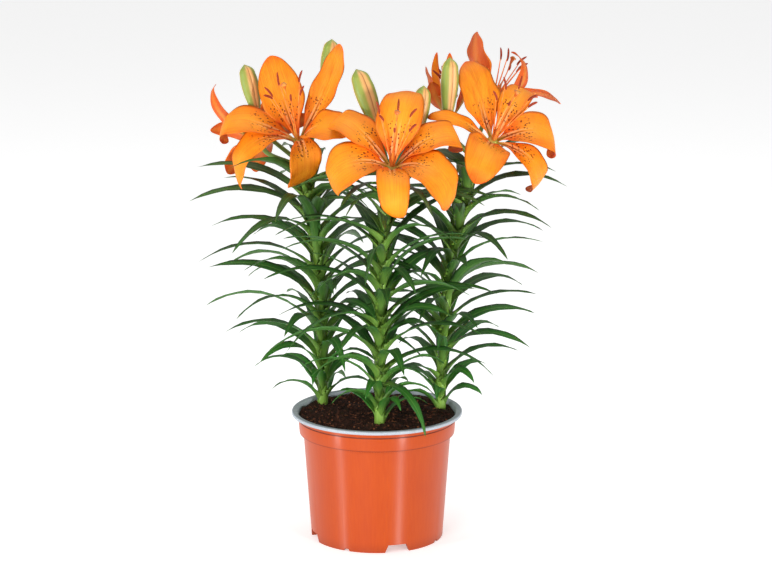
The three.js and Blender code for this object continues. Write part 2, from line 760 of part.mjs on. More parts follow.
// Meshes.
function meshOf(name, solid, { color, roughness }) {
  const { vertProperties, triVerts } = solid.getMesh();
  const geometry = new THREE.BufferGeometry();
  geometry.setAttribute("position", new THREE.BufferAttribute(vertProperties, 3));
  geometry.setIndex(new THREE.BufferAttribute(triVerts, 1));
  geometry.computeVertexNormals();
  const material = new THREE.MeshStandardMaterial({ color, roughness, metalness: 0 });
  const mesh = new THREE.Mesh(geometry, material);
  mesh.name = name;
  return mesh;
}

const lily = new THREE.Group();
lily.add(meshOf("pot", potSolid(), COLOURS.pot));
lily.add(meshOf("soil", soilSolid(), COLOURS.soil));
const leavesByStem = placeLeaves();
for (const name of Object.keys(STEMS)) {
  lily.add(meshOf(`stem_${name}`, stemSolid(name, leavesByStem[name]), COLOURS.stem));
}
for (const [name, bloom] of Object.entries(BLOOMS)) {
  lily.add(meshOf(`bloom_${name}_tepals`, bloomTepals(bloom), COLOURS.tepals));
  lily.add(meshOf(`bloom_${name}_stamens`, bloomStamens(bloom), COLOURS.stamens));
}
for (const [name, bud] of Object.entries(BUDS)) {
  lily.add(meshOf(`bud_${name}`, budSolid(bud), COLOURS.bud));
}

export default lily;
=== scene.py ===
"""Potted lily: three leafy stems with orange blooms and green buds in a plastic pot."""

import math

import bmesh
import bpy
import numpy as np
from mathutils import Matrix


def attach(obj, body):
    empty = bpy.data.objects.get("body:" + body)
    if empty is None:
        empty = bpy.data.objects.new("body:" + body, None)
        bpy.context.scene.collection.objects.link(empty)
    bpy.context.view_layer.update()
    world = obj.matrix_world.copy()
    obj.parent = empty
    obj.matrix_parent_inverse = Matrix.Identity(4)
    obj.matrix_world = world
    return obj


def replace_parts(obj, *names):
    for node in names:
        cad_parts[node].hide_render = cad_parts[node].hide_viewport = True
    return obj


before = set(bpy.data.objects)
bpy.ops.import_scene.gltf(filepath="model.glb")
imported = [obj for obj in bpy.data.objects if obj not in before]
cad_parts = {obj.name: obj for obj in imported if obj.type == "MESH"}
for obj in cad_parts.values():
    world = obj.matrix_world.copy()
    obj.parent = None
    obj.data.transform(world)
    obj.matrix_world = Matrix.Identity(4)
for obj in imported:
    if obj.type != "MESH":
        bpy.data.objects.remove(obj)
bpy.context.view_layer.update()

bl_info = {
    "name": "Potted lily",
    "version": (1, 0, 0),
    "blender": (4, 5, 0),
    "location": "3D View > Sidebar > Potted lily",
    "description": "Dresses the packed pot, soil, leafy stems, blooms and buds of a lily",
    "category": "Object",
}

MM = 0.001
BODY = "root"
UP = np.array([0.0, 0.0, 1.0])

# Photograph's frame, focal length in its pixels, and where the camera stands.
FRAME_WIDTH = 772
FOCAL_PIXELS = 2600
SENSOR_WIDTH = 36
CAMERA_PLACE = (0.009, -2.508, 0.815)
CAMERA_PITCH = 12.66

# Sizes of the pot, in millimetres.
POT_TURNS = 192
POT_HEIGHT = 129
RIM_RADIUS = 85
RIM_INNER_RADIUS = 80
RIM_DROP = 3.2
LIP_WIDTH = 0.8
LIP_DROP = 1.2
INNER_STEP = 1
ROUNDING = 0.6
SHARP_ANGLE = 38
COLLAR_RADIUS = 79.3
GROOVE_HEIGHT = 120.8
GROOVE_DEPTH = 1.3
COLLAR_FOOT = 106.7
COLLAR_FOOT_RADIUS = 77.5
WALL_TOP_RADIUS = 73.6
FOOT_RADIUS = 66
FOOT_WIDTH = 5
WALL = 2.2
FLOOR_UNDERSIDE = 8.5
FLOOR_TOP = 10
NOTCH_TURN = 18
WIDE_NOTCH = (24, 8)
SMALL_NOTCH = (6, 2.5)
DRAIN_COUNT = 6
DRAIN_SIDES = 20
DRAIN_RADIUS = 4
DRAIN_CIRCLE = 40

# Sizes of the soil, stalks and pedicels.
GAP = 0.3
SOIL_TOP = 125
SOIL_BUMP = 1.6
SOIL_TURNS = 120
SOIL_RINGS = 52
SOIL_SEED = 11
BIT_MARGIN = 2
BIT_SIDES = 5
STEM_FOOT = 109
STEM_FOOT_RADIUS = 5.4
STEM_TOP_RADIUS = 3.8
STEM_TAPER = 230
PEDICEL_RADIUS = 2.2
STALK_SIDES = 24
STALK_STATIONS = 70
PEDICEL_SIDES = 14
PEDICEL_STATIONS = 25

# Each stem leans as it climbs, its first leaf points to first_leaf degrees, and leafing
# scales the length of its leaves.
STEMS = {
    "left": {
        "base": (-55, 38), "lean": (-18, -4), "bend": 3, "top": 362, "first_leaf": 75, "leafing": 1.07},
    "middle": {
        "base": (3, -35), "lean": (9, -8), "bend": 3, "top": 366, "first_leaf": 20, "leafing": 0.97},
    "right": {
        "base": (64, 20), "lean": (34, -5), "bend": 2.3, "top": 374, "first_leaf": 200, "leafing": 0.89},
}

LEAVES_PER_STEM = 60
LEAF_TURN = 137.50776
LEAF_START = 126
LEAF_TOP_MARGIN = 6
LEAF_ROOT = 0.78
LEAF_CROWDING = 1.05
DROOPING_LEAF = {
    "z": 163, "azimuth": -52, "rise": 30, "fall": -75, "power": 0.8, "length": 88, "half": 6,
    "sway": 0, "roll": 0, "climb": 0.17, "seed": 0.5}
CURVE_STEPS = 24

# Room that a leaf keeps from its neighbours, measured between guard balls, and from the pot. Where
# it meets something it swings, tilts and shrinks by these steps.
LEAF_GUARD = 2.4
TEPAL_GUARD = 3.2
STALK_GUARD = 1
GUARD_BOX = 10
GUARD_REACH = 14
STALK_STEP = 4
CROWDED_PART = 0.35
RIM_ROOM = 6
GROUND_ROOM = 4
SHRINKS = range(9)
SHRINK_STEP = 0.06
SWINGS = (0, 8, -8, 16, -16, 24, -24)
TILTS = (0, 9, -9, 18)

# Stations along a leaf, and, once round its blade, v across it, how far the point lies back
# towards the keel, and whether it is on the face or the back.
LEAF_STATIONS = (0, 0.05, 0.1, 0.16, 0.24, 0.33, 0.43, 0.53, 0.63, 0.72, 0.81, 0.89, 0.95, 1)
LEAF_ACROSS = (-1, -0.5, 0, 0.5, 1, 0.45, 0, -0.45)
LEAF_BACK = (0, 0, 0, 0, 0, 0.55, 1, 0.55)
LEAF_FACE = (0, 1, 1, 1, 0, -1, -1, -1)
LEAF_KEEL = 1.15

TEPAL_BASE_RADIUS = 4.2
TEPAL_THICKNESS = 1.3
TEPAL_STATIONS = 46
TEPAL_ACROSS = 17
NECK_LENGTH = 8
NECK_SIDES = 24
NECK_STEPS = 12
NECK_PROFILE = [(-NECK_LENGTH, 2.6), (-NECK_LENGTH / 2, 4.0), (0, 5.6), (1.6, 3.6), (2.2, 0)]

# Each bloom's stamens have that length and lean out by spread degrees. Each tepal: turn about the
# bloom's axis, rise at the throat, fall at the tip, how late the bend comes, length, half width
# and sideways sway of the tip.
BLOOMS = {
    "middle_front": {
        "stem": "middle", "throat": (14.7, -62, 385.4), "facing": (0.07, -0.54, 0.84),
        "spread": 14, "stamens": 66,
        "tepals": [
            (80, 67, -47, 1.8, 91, 22, -10), (142, 41, -90, 1.8, 97, 19, -21),
            (193, 39, -140, 1.7, 87, 26.5, -2), (259, 43, -146, 2.2, 94, 16, 11),
            (320, 47, -109, 1.7, 94, 23, -9), (8, 52, -150, 2, 104, 19, 20),
        ],
    },
    "left_front": {
        "stem": "left", "throat": (-77.8, 29, 396.5), "facing": (-0.18, -0.48, 0.86),
        "spread": 14, "stamens": 66,
        "tepals": [
            (130, 58, 35, 1, 86, 22, -7), (191, 39, -145, 2.8, 103, 21, -5),
            (219, 49, -105, 1.3, 97, 19, 15), (311, 66, -155, 0.8, 71, 17, -24),
            (352, 58, -16, 1.1, 77, 23, -8), (59, 34, 67, 0.9, 104, 17, -9),
        ],
    },
    "left_rear": {
        "stem": "left", "throat": (-115, 72, 386), "facing": (-0.15, 0.9, 0.4),
        "spread": 12, "stamens": 48,
        "tepals": [
            (30, 0, 120, 1.8, 88, 6, 14), (114, 50, 0, 1.2, 66, 13, 0),
            (173, 58, -10, 1.5, 62, 12, -3), (260, 60, -18, 2, 72, 14, 10),
            (305, 49, -76, 1.5, 56, 12.5, 7), (1, 58, -30, 1.8, 58, 10, 1),
        ],
    },
    "right_front": {
        "stem": "right", "throat": (113.4, 0, 400.7), "facing": (0.3, -0.57, 0.76),
        "spread": 14, "stamens": 66,
        "tepals": [
            (112, 38, -40, 3.6, 83, 24, -22), (167, 30, -71, 3.2, 74, 10, -13),
            (223, 38, -85, 3, 92, 22, 9), (305, 28, -150, 1.5, 92, 16, 11),
            (341, 52, -137, 2.1, 85, 23, -5), (50, 55, -56, 1, 97, 15, -12),
        ],
    },
    "right_rear_left": {
        "stem": "right", "throat": (72, 70, 413), "facing": (-0.12, 0.5, 0.86),
        "spread": 4, "stamens": 44,
        "tepals": [
            (298, 66, 97, 0.9, 80, 6, -10), (0, 72, 80, 1, 56, 8, 3),
            (80, 36, -60, 1.4, 55, 10, -5), (245, 62, 90, 0.9, 80, 6.5, -6),
            (144, 36, 96, 1, 56, 9, -6), (52, 24, 20, 1, 52, 10, 8),
        ],
    },
    "right_rear_right": {
        "stem": "right", "throat": (116.6, 78, 428), "facing": (0.4, 0.5, 0.77),
        "spread": 13, "stamens": 48,
        "tepals": [
            (204, 44, -36, 1.9, 70, 9, -3), (176, 12, 178, 1.2, 74, 8, -14),
            (100, 20, -70, 1.2, 58, 12, 0), (55, 36, 80, 1.1, 74, 22, -11),
            (252, 60, 7, 1.5, 60, 11, 4), (310, 50, -10, 1.2, 60, 12, 0),
        ],
    },
}

ANTHER_LENGTH = 14
ANTHER_RADIUS = 1.3
STYLE_EXTRA = 4
FILAMENT_RADIUS = 0.9
FILAMENT_SIDES = 9
ANTHER_SIDES = 12
STAMEN_STATIONS = 15
PISTIL_SIDES = 18
PISTIL_STEPS = 60

BUDS = {
    "middle_left": {
        "stem": "middle", "base": (1.3, -20, 413), "tip": (-20, -10, 472.3), "radius": 10},
    "middle_right": {
        "stem": "middle", "base": (36, -18, 402), "tip": (45.6, -14, 457), "radius": 8.5},
    "right_front": {
        "stem": "right", "base": (68.4, 2, 420), "tip": (71, 0, 482.6), "radius": 8.6},
    "left_side": {
        "stem": "left", "base": (-119.5, 52, 417), "tip": (-131.5, 55, 468), "radius": 8.5},
    "left_top": {
        "stem": "left", "base": (-52, 58, 440), "tip": (-44.5, 60, 492.6), "radius": 9},
}
BUD_PROFILE = [
    (0, 0.24), (0.1, 0.52), (0.3, 0.8), (0.55, 1), (0.76, 0.95), (0.92, 0.64), (1, 0)]
BUD_RIB = 0.08
BUD_SIDES = 48
BUD_STEPS = 40

# Each light, in metres: place, target, width, height, and its power as a share of the key light's.
LIGHTS = {
    "key_light": ((-1.0, -2.6, 2.0), (0, 0, 0.3), 1.2, 1.2, 1),
    "top_light": ((0, 0.6, 2.4), (0, 0, 0.3), 1.6, 1.6, 0.6),
    "left_box": ((-1.34, -0.87, 0.22), (0, 0, 0.06), 0.13, 0.4, 0.5),
    "right_strip": ((1.06, -1.46, 0.22), (0, 0, 0.06), 0.07, 0.4, 0.72),
}
FLOOR_REACH = 20


# Numbers and curves.
def colour(red, green, blue):
    """Linear light of a display colour in steps of 0 to 255: a power of 2.4 above a short straight foot."""
    share = np.array([red, green, blue]) / 255
    bent = ((share + 0.055) / 1.055) ** 2.4
    return tuple(float(x) for x in np.where(share <= 0.04045, share / 12.92, bent))


def spread(i, salt):
    """A repeatable number from 0 to 1: the fraction left of a large sine wave."""
    wave = np.sin(i * 12.9898 + salt * 78.233) * 43758.5453
    return wave - np.floor(wave)


def smooth(x):
    """Zero below 0, one above 1, and 3t^2 - 2t^3 between."""
    t = np.clip(x, 0, 1)
    return t * t * (3 - 2 * t)


def unit(v):
    """A vector divided by its length."""
    v = np.asarray(v, float)
    return v / np.linalg.norm(v, axis=-1, keepdims=True)


def turns(count):
    """Angles once round a circle in that many equal steps."""
    return np.arange(count) * math.tau / count


def through(stops, t):
    """A smooth curve through (t, value) stops: on each span a cubic, whose slope at a stop is the one
    between that stop's neighbours."""
    x, y = np.array(stops, float).T
    slope = np.gradient(y, x)
    k = np.clip(np.searchsorted(x, t, side="right") - 1, 0, len(x) - 2)
    width = x[k + 1] - x[k]
    s = (t - x[k]) / width
    rise = smooth(s)
    start = s * (1 - s) ** 2 * slope[k] * width
    end = s * s * (s - 1) * slope[k + 1] * width
    return y[k] + (y[k + 1] - y[k]) * rise + start + end


def arch(start, outward, axis, rise, fall, power, length, sway, steps=CURVE_STEPS):
    """A curve in the plane of outward and axis. Its angle is rise + (fall - rise) t^power, its place the
    running sum of short steps along that angle, and it slides sideways by sway t^2. Gives t, place, side
    and normal."""
    t = np.linspace(0, 1, steps + 1)
    angle = np.radians(rise + (fall - rise) * t ** power)
    middle = np.radians(rise + (fall - rise) * ((np.arange(steps) + 0.5) / steps) ** power)
    run = np.append(0, np.cumsum(np.cos(middle))) * length / steps
    lift = np.append(0, np.cumsum(np.sin(middle))) * length / steps
    side = unit(np.cross(axis, outward))
    place = start + np.outer(run, outward) + np.outer(lift, axis) + np.outer(sway * t * t, side)
    normal = np.outer(np.cos(angle), axis) - np.outer(np.sin(angle), outward)
    return t, place, side, normal


def at_stations(path, t):
    """Place, side and normal of an arch at the shares t of its length, straight between its own stations."""
    own, place, side, normal = path
    place, side, normal = (
        np.stack([np.interp(t, own, rows[:, k]) for k in range(3)], 1)
        for rows in (place, np.broadcast_to(side, place.shape), normal))
    return place, unit(side), unit(normal)


def bezier(corners, t):
    """Points of a cubic curve with four corners: their mean, weighted by the Bernstein polynomials of t."""
    a, b, c, d = (np.asarray(p, float) for p in corners)
    t = np.asarray(t, float)[:, None]
    return a * (1 - t) ** 3 + 3 * b * t * (1 - t) ** 2 + 3 * c * t * t * (1 - t) + d * t ** 3


def square_to(direction):
    """Two unit vectors square to each direction and to each other; the first lies nearest to +X."""
    direction = np.atleast_2d(direction)
    reference = np.where(np.abs(direction[:, :1]) < 0.9, [[1.0, 0, 0]], [UP])
    first = unit(reference - np.sum(reference * direction, 1, keepdims=True) * direction)
    return first, np.cross(direction, first)


def rings_along(path, radii, sides, stretch=None):
    """Rings around a path: at each point a circle of that radius, square to the path. stretch multiplies the
    radius by a value for each point of each ring."""
    path = np.asarray(path, float)
    first, second = square_to(unit(np.gradient(path, axis=0)))
    turn = turns(sides)
    reach = np.broadcast_to(np.reshape(radii, (-1, 1)), (len(path), sides))
    reach = (reach * (1 if stretch is None else stretch))[..., None]
    circle = np.cos(turn)[:, None] * first[:, None] + np.sin(turn)[:, None] * second[:, None]
    return path[:, None] + reach * circle


# Meshes.
class Skin:
    """Gathers closed tubes of points into one mesh, with named marks at every point."""

    def __init__(self, *marks):
        self.names = marks
        self.points = []
        self.marks = []
        self.faces = []
        self.slots = []
        self.count = 0

    def tube(self, rings, start, end, slot=0, **marks):
        """Adds the rings, joined ring to ring and closed by a fan of triangles to the points start and end.
        A mark is a number or an array with a value for each point of each ring. The tube is turned inside
        out if the volume that its triangles enclose is negative."""
        rings = np.asarray(rings, float)
        count, sides = rings.shape[:2]
        points = np.concatenate([rings.reshape(-1, 3), [start, end]])
        ring, side = np.meshgrid(np.arange(count - 1), np.arange(sides), indexing="ij")
        here = (ring * sides + side).ravel()
        beside = (ring * sides + (side + 1) % sides).ravel()
        quads = np.stack([here, beside, beside + sides, here + sides], 1)
        edge = np.arange(sides)
        after = (edge + 1) % sides
        top = (count - 1) * sides
        fans = np.concatenate([
            np.stack([np.full(sides, count * sides), after, edge], 1),
            np.stack([np.full(sides, count * sides + 1), top + edge, top + after], 1),
        ])
        triangles = np.concatenate([quads[:, [0, 1, 2]], quads[:, [0, 2, 3]], fans])
        first, second, third = (points[triangles[:, k]] for k in range(3))
        if np.sum(first * np.cross(second, third)) < 0:
            quads = quads[:, ::-1]
            fans = fans[:, ::-1]
        self.faces += (quads + self.count).tolist() + (fans + self.count).tolist()
        self.slots += [slot] * (len(quads) + len(fans))
        rows = []
        for name in self.names:
            value = np.broadcast_to(np.asarray(marks.get(name, 0), float), (count, sides))
            rows.append(np.append(value.ravel(), [value[0].mean(), value[-1].mean()]))
        self.marks.append(np.array(rows).reshape(len(self.names), len(points)))
        self.points.append(points)
        self.count += len(points)

    def build(self, name, finishes):
        """Makes the object, in metres, and lets it ride on the body."""
        mesh = bpy.data.meshes.new(name)
        mesh.from_pydata(np.concatenate(self.points) * MM, [], self.faces)
        for mark, values in zip(self.names, np.concatenate(self.marks, 1)):
            mesh.attributes.new(mark, "FLOAT", "POINT").data.foreach_set("value", values)
        for finish in finishes:
            mesh.materials.append(finish)
        mesh.polygons.foreach_set("material_index", self.slots)
        mesh.shade_smooth()
        mesh.update()
        return settle(bpy.data.objects.new(name, mesh))


def settle(piece):
    """Links a finished piece, and lets it ride on the body."""
    bpy.context.scene.collection.objects.link(piece)
    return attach(piece, BODY)


# Materials.
class Term:
    """A number on a material's socket. Arithmetic on it adds Math nodes."""

    def __init__(self, finish, socket):
        self.finish = finish
        self.socket = socket

    def _math(self, operation, *values):
        return self.finish.node(
            "ShaderNodeMath", {"operation": operation}, dict(enumerate(values)))

    def __add__(self, other):
        return self._math("ADD", self, other)

    __radd__ = __add__

    def __sub__(self, other):
        return self._math("SUBTRACT", self, other)

    def __mul__(self, other):
        return self._math("MULTIPLY", self, other)

    def __truediv__(self, other):
        return self._math("DIVIDE", self, other)

    def __pow__(self, other):
        return self._math("POWER", self, other)

    def __abs__(self):
        return self._math("ABSOLUTE", self)

    def least(self, other):
        """The smaller of the two."""
        return self._math("MINIMUM", self, other)

    def most(self, other):
        """The larger of the two."""
        return self._math("MAXIMUM", self, other)

    def wave(self):
        """Sine of the value, in radians."""
        return self._math("SINE", self)

    def step(self, low, high):
        """Rises smoothly from 0 at low to 1 at high, or falls where high is the smaller."""
        return self.finish.node(
            "ShaderNodeMapRange", {"interpolation_type": "SMOOTHSTEP"},
            {"Value": self, "From Min": low, "From Max": high})


class Finish:
    """A node material on one Principled shader, whose plain values are set on the shader itself."""

    def __init__(self, name, shader):
        self.material = bpy.data.materials.new(name)
        self.material.use_nodes = True
        self.tree = self.material.node_tree
        self.shader = self.tree.nodes["Principled BSDF"]
        for socket, value in shader.items():
            self.shader.inputs[socket].default_value = value

    def node(self, kind, settings, sockets, output=0):
        """Adds a node: its settings first, then a value or link for each socket by name or number."""
        node = self.tree.nodes.new(kind)
        for setting, value in settings.items():
            setattr(node, setting, value)
        for key, value in sockets.items():
            if isinstance(value, Term):
                self.tree.links.new(value.socket, node.inputs[key])
            else:
                node.inputs[key].default_value = value
        return Term(self, node.outputs[output])

    def mark(self, name):
        """The number that the piece's mesh carries under that name."""
        return self.node("ShaderNodeAttribute", {"attribute_name": name}, {}, "Fac")

    def place(self):
        """The point on the piece, in metres."""
        return self.node("ShaderNodeTexCoord", {}, {}, "Object")

    def part(self, vector, axis):
        """One of the three numbers of a vector."""
        return self.node("ShaderNodeSeparateXYZ", {}, {0: vector}, axis)

    def point(self, x, y, z):
        """A vector from three numbers."""
        return self.node("ShaderNodeCombineXYZ", {}, {0: x, 1: y, 2: z})

    def noise(self, vector, scale, detail=2, roughness=0.5):
        """Soft cloudy noise, about 0.5 on average."""
        return self.node(
            "ShaderNodeTexNoise", {},
            {"Vector": vector, "Scale": scale, "Detail": detail, "Roughness": roughness}, "Fac")

    def cells(self, vector, scale):
        """Distance to the nearest of scattered points."""
        return self.node("ShaderNodeTexVoronoi", {}, {"Vector": vector, "Scale": scale}, "Distance")

    def mix(self, share, first, second):
        """A colour between two, where share is 0 for the first and 1 for the second."""
        first, second = (c if isinstance(c, Term) else (*c, 1) for c in (first, second))
        return self.node("ShaderNodeMix", {"data_type": "RGBA"}, {0: share, 6: first, 7: second}, 2)

    def feed(self, socket, value):
        """Links a varying value to one of the shader's sockets."""
        self.tree.links.new(value.socket, self.shader.inputs[socket])

    def bump(self, height, distance, strength=1.0):
        """Shades the surface as if it rose by height times distance, in metres."""
        self.feed("Normal", self.node(
            "ShaderNodeBump", {}, {"Strength": strength, "Distance": distance, "Height": height}))


def tepal_finish(look):
    """Orange tepal: lengthwise streaks, a pale rib beside a green groove at the throat, deeper colour towards
    the root, edges and tip, dark flecks over the lower half, and a redder back."""
    f = Finish("tepal_orange", {
        "Roughness": 0.5, "Specular IOR Level": 0.22, "Subsurface Weight": 0.12,
        "Subsurface Radius": (1.0, 0.35, 0.1), "Subsurface Scale": 0.002})
    across, along = f.mark("across"), f.mark("along")
    flat_x, flat_y = f.mark("flat_x"), f.mark("flat_y")
    seed, face = f.mark("seed"), f.mark("face")
    off = abs(across)
    streak = f.noise(f.point(flat_x * 1.3, flat_y * 0.05, seed * 9), 1.0, 3)
    vein = f.noise(f.point(flat_x * 2.6, flat_y * 0.025, seed * 13), 1.0, 2)
    cloud = f.noise(f.point(flat_x, flat_y, seed * 31), 0.06, 3)
    pale = off.step(0.8, 0.1) * along.step(0.1, 0.45) * along.step(1.0, 0.6)
    base = f.mix((pale * 0.7 + streak * 0.6 - 0.2).most(0).least(1), look.tepal_colour, look.tepal_pale)
    deep = along.step(0.4, 0.05) * 0.6 + off.step(0.75, 1.0) * 0.35 + along.step(0.85, 1.0) * 0.6
    deep = deep + (cloud - 0.45) * 0.9
    base = f.mix((deep + (streak - 0.5) * 1.1).most(0).least(1), base, look.tepal_deep)
    base = f.mix(vein.step(0.5, 0.72) * 0.4, base, look.tepal_deep)
    rib = abs(abs(flat_x) - 2.1).step(1.5, 0.4) * along.step(0.52, 0.1)
    base = f.mix(rib * 0.8, base, colour(255, 196, 130))
    groove = abs(flat_x).step(1.1, 0.3) * along.step(0.5, 0.12)
    base = f.mix(groove * 0.9, base, colour(128, 62, 26))
    glow = along.step(0.16, 0.02) * abs(flat_x).step(4, 1)
    base = f.mix(glow * 0.7, base, colour(176, 160, 52))
    cell = f.point(flat_x, flat_y * 0.75, seed * 47)
    size = f.noise(f.point(flat_x, flat_y, seed * 5), 0.35, 1)
    fleck = f.cells(cell, 0.42).step(0.36, 0.24) * size.step(0.34, 0.42)
    zone = along.step(0.1, 0.16) * along.step(0.5, 0.4) * off.step(0.04, 0.12) * off.step(0.82, 0.66)
    fleck = fleck * zone * face.step(0.3, 0.6)
    base = f.mix(fleck * 0.95, base, look.fleck_colour)
    back = f.mix(
        (off.step(0.55, 0.05) * 0.5 + streak * 0.5).least(1), look.back_colour, colour(228, 126, 44))
    keel = abs(flat_x).step(2.4, 0.8) * along.step(0.75, 0.1)
    back = f.mix(keel * 0.7, back, colour(170, 168, 84))
    f.feed("Base Color", f.mix(face.step(-0.4, -0.9), base, back))
    f.bump(streak * 0.6 + vein * 0.5 + fleck * 1.2 - groove * 0.8, 0.0007, 0.7)
    return f.material


def leaf_finish(look):
    """Green leaf: parallel veins and a paler midrib, a yellow-green base, a duller back, and olive near
    the blooms."""
    f = Finish("leaf_green", {
        "Specular IOR Level": 0.35, "Subsurface Weight": 0.05, "Subsurface Scale": 0.001})
    across, along = f.mark("across"), f.mark("along")
    climb, tone, face = f.mark("climb"), f.mark("seed"), f.mark("face")
    flat = f.point(f.mark("flat_x"), f.mark("flat_y") * 0.06, tone * 17)
    streak = f.noise(flat, 1.6, 3)
    cloud = f.noise(f.place(), 60, 3)
    base = f.mix(climb.step(0.45, 0.05), look.leaf_colour, look.leaf_low_colour)
    base = f.mix(climb.step(0.62, 1.0) * 0.75, base, look.leaf_top_colour)
    base = f.mix((tone * 0.5 + cloud * 0.6 - 0.3).most(0).least(1), base, colour(44, 104, 30))
    vein = (across * 28).wave() * 0.5 + 0.5
    base = f.mix(vein * 0.12 + streak * 0.16, base, colour(86, 140, 50))
    base = f.mix(abs(across).step(0.13, 0.03) * 0.4, base, colour(112, 158, 70))
    base = f.mix(along.step(0.3, 0.02) * 0.9, base, look.stalk_colour)
    back = f.mix(0.5, base, colour(70, 106, 48))
    f.feed("Base Color", f.mix(face.step(-0.2, -0.8), base, back))
    f.feed("Roughness", 0.34 + streak * 0.2 + vein * 0.04)
    f.bump(vein * 0.5 + streak * 0.8, 0.0003, 0.6)
    return f.material


def stalk_finish(look):
    """Stalk: yellow-green with fine lengthwise streaks, darker and browner where it carries the blooms."""
    f = Finish("stalk_green", {"Roughness": 0.42, "Subsurface Weight": 0.05, "Subsurface Scale": 0.001})
    around, climb = f.mark("across"), f.mark("climb")
    streak = f.noise(f.point(around * 14, climb * 9, 1), 1.0, 3)
    base = f.mix(climb.step(0.55, 1.0) * 0.7, look.stalk_colour, colour(88, 112, 46))
    base = f.mix(streak.step(0.45, 0.8) * 0.5, base, colour(70, 120, 44))
    f.feed("Base Color", base)
    f.bump(streak, 0.0004, 0.6)
    return f.material


def bud_finish(look):
    """Bud: yellow-green with peach ribs, a brown line in each seam and a green tip."""
    f = Finish("bud_skin", {"Roughness": 0.46, "Subsurface Weight": 0.08, "Subsurface Scale": 0.001})
    rib, along, around = f.mark("rib"), f.mark("along"), f.mark("around")
    streak = f.noise(f.point(around * 9, along * 2.5, f.mark("seed")), 1.6, 3)
    base = f.mix(
        (rib.step(-0.7, 0.5) + (streak - 0.5) * 0.7).most(0).least(1), look.bud_rib_colour, look.bud_colour)
    base = f.mix(rib.step(0.86, 1.0) * 0.6, base, colour(120, 146, 62))
    base = f.mix(rib.step(-0.93, -1.0) * 0.8, base, colour(150, 84, 40))
    base = f.mix(along.step(0.9, 1.0) * 0.75, base, colour(128, 152, 70))
    base = f.mix(along.step(0.2, 0.0) * 0.8, base, colour(134, 156, 74))
    f.feed("Base Color", base)
    f.bump(streak, 0.0004, 0.5)
    return f.material


def plain_finish(name, low, high, scale, distance, shader):
    """A colour that wanders between two with a fine noise, and the same noise as relief."""
    f = Finish(name, shader)
    grain = f.noise(f.place(), scale, 4)
    f.feed("Base Color", f.mix(grain.step(0.35, 0.68), low, high))
    f.bump(grain, distance, 0.8)
    return f.material


def soil_finish(look):
    """Damp peat: dark crumbs with red-brown fibres between."""
    f = Finish("peat", {"Roughness": 0.9, "Specular IOR Level": 0.25})
    place = f.place()
    crumb = f.cells(place, 420)
    fine = f.noise(place, 900, 4, 0.7)
    broad = f.noise(place, 90, 3)
    base = f.mix((crumb * 0.8 + fine * 0.7 - 0.3).most(0).least(1), look.soil_dark, look.soil_colour)
    base = f.mix(broad.step(0.5, 0.75) * fine.step(0.45, 0.7) * 0.6, base, colour(122, 66, 42))
    f.feed("Base Color", base)
    f.bump(crumb * 0.6 + fine, 0.0016, 1.0)
    return f.material


def fibre_finish(look):
    """Bits of bark and fibre, each of its own brown."""
    f = Finish("peat_fibre", {"Roughness": 0.85, "Specular IOR Level": 0.3})
    tone = f.mark("seed")
    fine = f.noise(f.place(), 1200, 3)
    base = f.mix(tone.step(0.0, 0.75), look.soil_dark, look.soil_colour)
    base = f.mix(tone.step(0.72, 1.0), base, look.fibre_colour)
    base = f.mix(fine.step(0.5, 0.8) * 0.4, base, look.soil_dark)
    f.feed("Base Color", base)
    f.bump(fine, 0.0005, 0.7)
    return f.material


def pot_finish(look):
    """Thin glossy plastic, orange outside with a grey lining that shows on the lip: faint drawn streaks, a
    soft orange-peel relief, painted shade in the collar's groove and in the corner under the collar, and the
    foot a little darker."""
    f = Finish("pot_plastic", {
        "Specular IOR Level": 0.42, "Anisotropic": 0.95, "Anisotropic Rotation": 0.25})
    place = f.place()
    x, y, z = (f.part(place, k) / MM for k in range(3))
    reach = (x * x + y * y) ** 0.5
    wall = FOOT_RADIUS - WALL + z * ((WALL_TOP_RADIUS - FOOT_RADIUS) / COLLAR_FOOT)
    low, high = COLLAR_FOOT + WALL, POT_HEIGHT - LIP_DROP
    slope = (RIM_INNER_RADIUS - LIP_WIDTH - COLLAR_FOOT_RADIUS + WALL) / (high - low)
    collar = COLLAR_FOOT_RADIUS - WALL + (z - low) * slope
    above = z.step(COLLAR_FOOT - INNER_STEP, low)
    inner = (wall + above * (collar - wall) - reach).step(-0.45, -0.25) * z.step(9, 9.6)
    lining = inner.most(z.step(POT_HEIGHT - RIM_DROP - 0.3, POT_HEIGHT - RIM_DROP))
    streak = f.noise(f.point(x * 0.6, y * 0.6, z * 0.02), 1.0, 3)
    cloud = f.noise(place, 22, 4)
    speck = f.noise(place, 800, 3, 0.6)
    base = f.mix((streak * 0.5 + cloud * 0.5).step(0.3, 0.7) * 0.5, look.pot_colour, look.pot_pale)
    # Painted shade: the groove and the corner under the collar are darkened towards a deep brown-orange, and
    # the lowest 12 mm is a little darker.
    shade = z.step(12, 0) * 0.25 + abs(z - COLLAR_FOOT).step(1.4, 0.3) * 0.8
    shade = (shade + abs(z - GROOVE_HEIGHT).step(1.1, 0.3) * 0.9) * (0.6 + cloud * 0.6)
    base = f.mix(shade.least(1), base, colour(84, 20, 6))
    grey = f.mix(speck.step(0.4, 0.75) * 0.5, look.lining_colour, colour(128, 136, 146))
    f.feed("Base Color", f.mix(lining, base, grey))
    f.feed("Roughness", 0.33 + cloud * 0.08 + lining * 0.15 + speck * 0.03)
    f.bump(speck * 0.35 + streak * 0.4, 0.0002, 0.3)
    return f.material


# Stems and heads: where each stalk, pedicel, bloom and bud lies.
def stem_radius(z):
    """Radius that falls evenly from the foot's to the top's over the taper's height above the soil."""
    share = np.clip((z - SOIL_TOP) / STEM_TAPER, 0, 1)
    return STEM_FOOT_RADIUS + (STEM_TOP_RADIUS - STEM_FOOT_RADIUS) * share


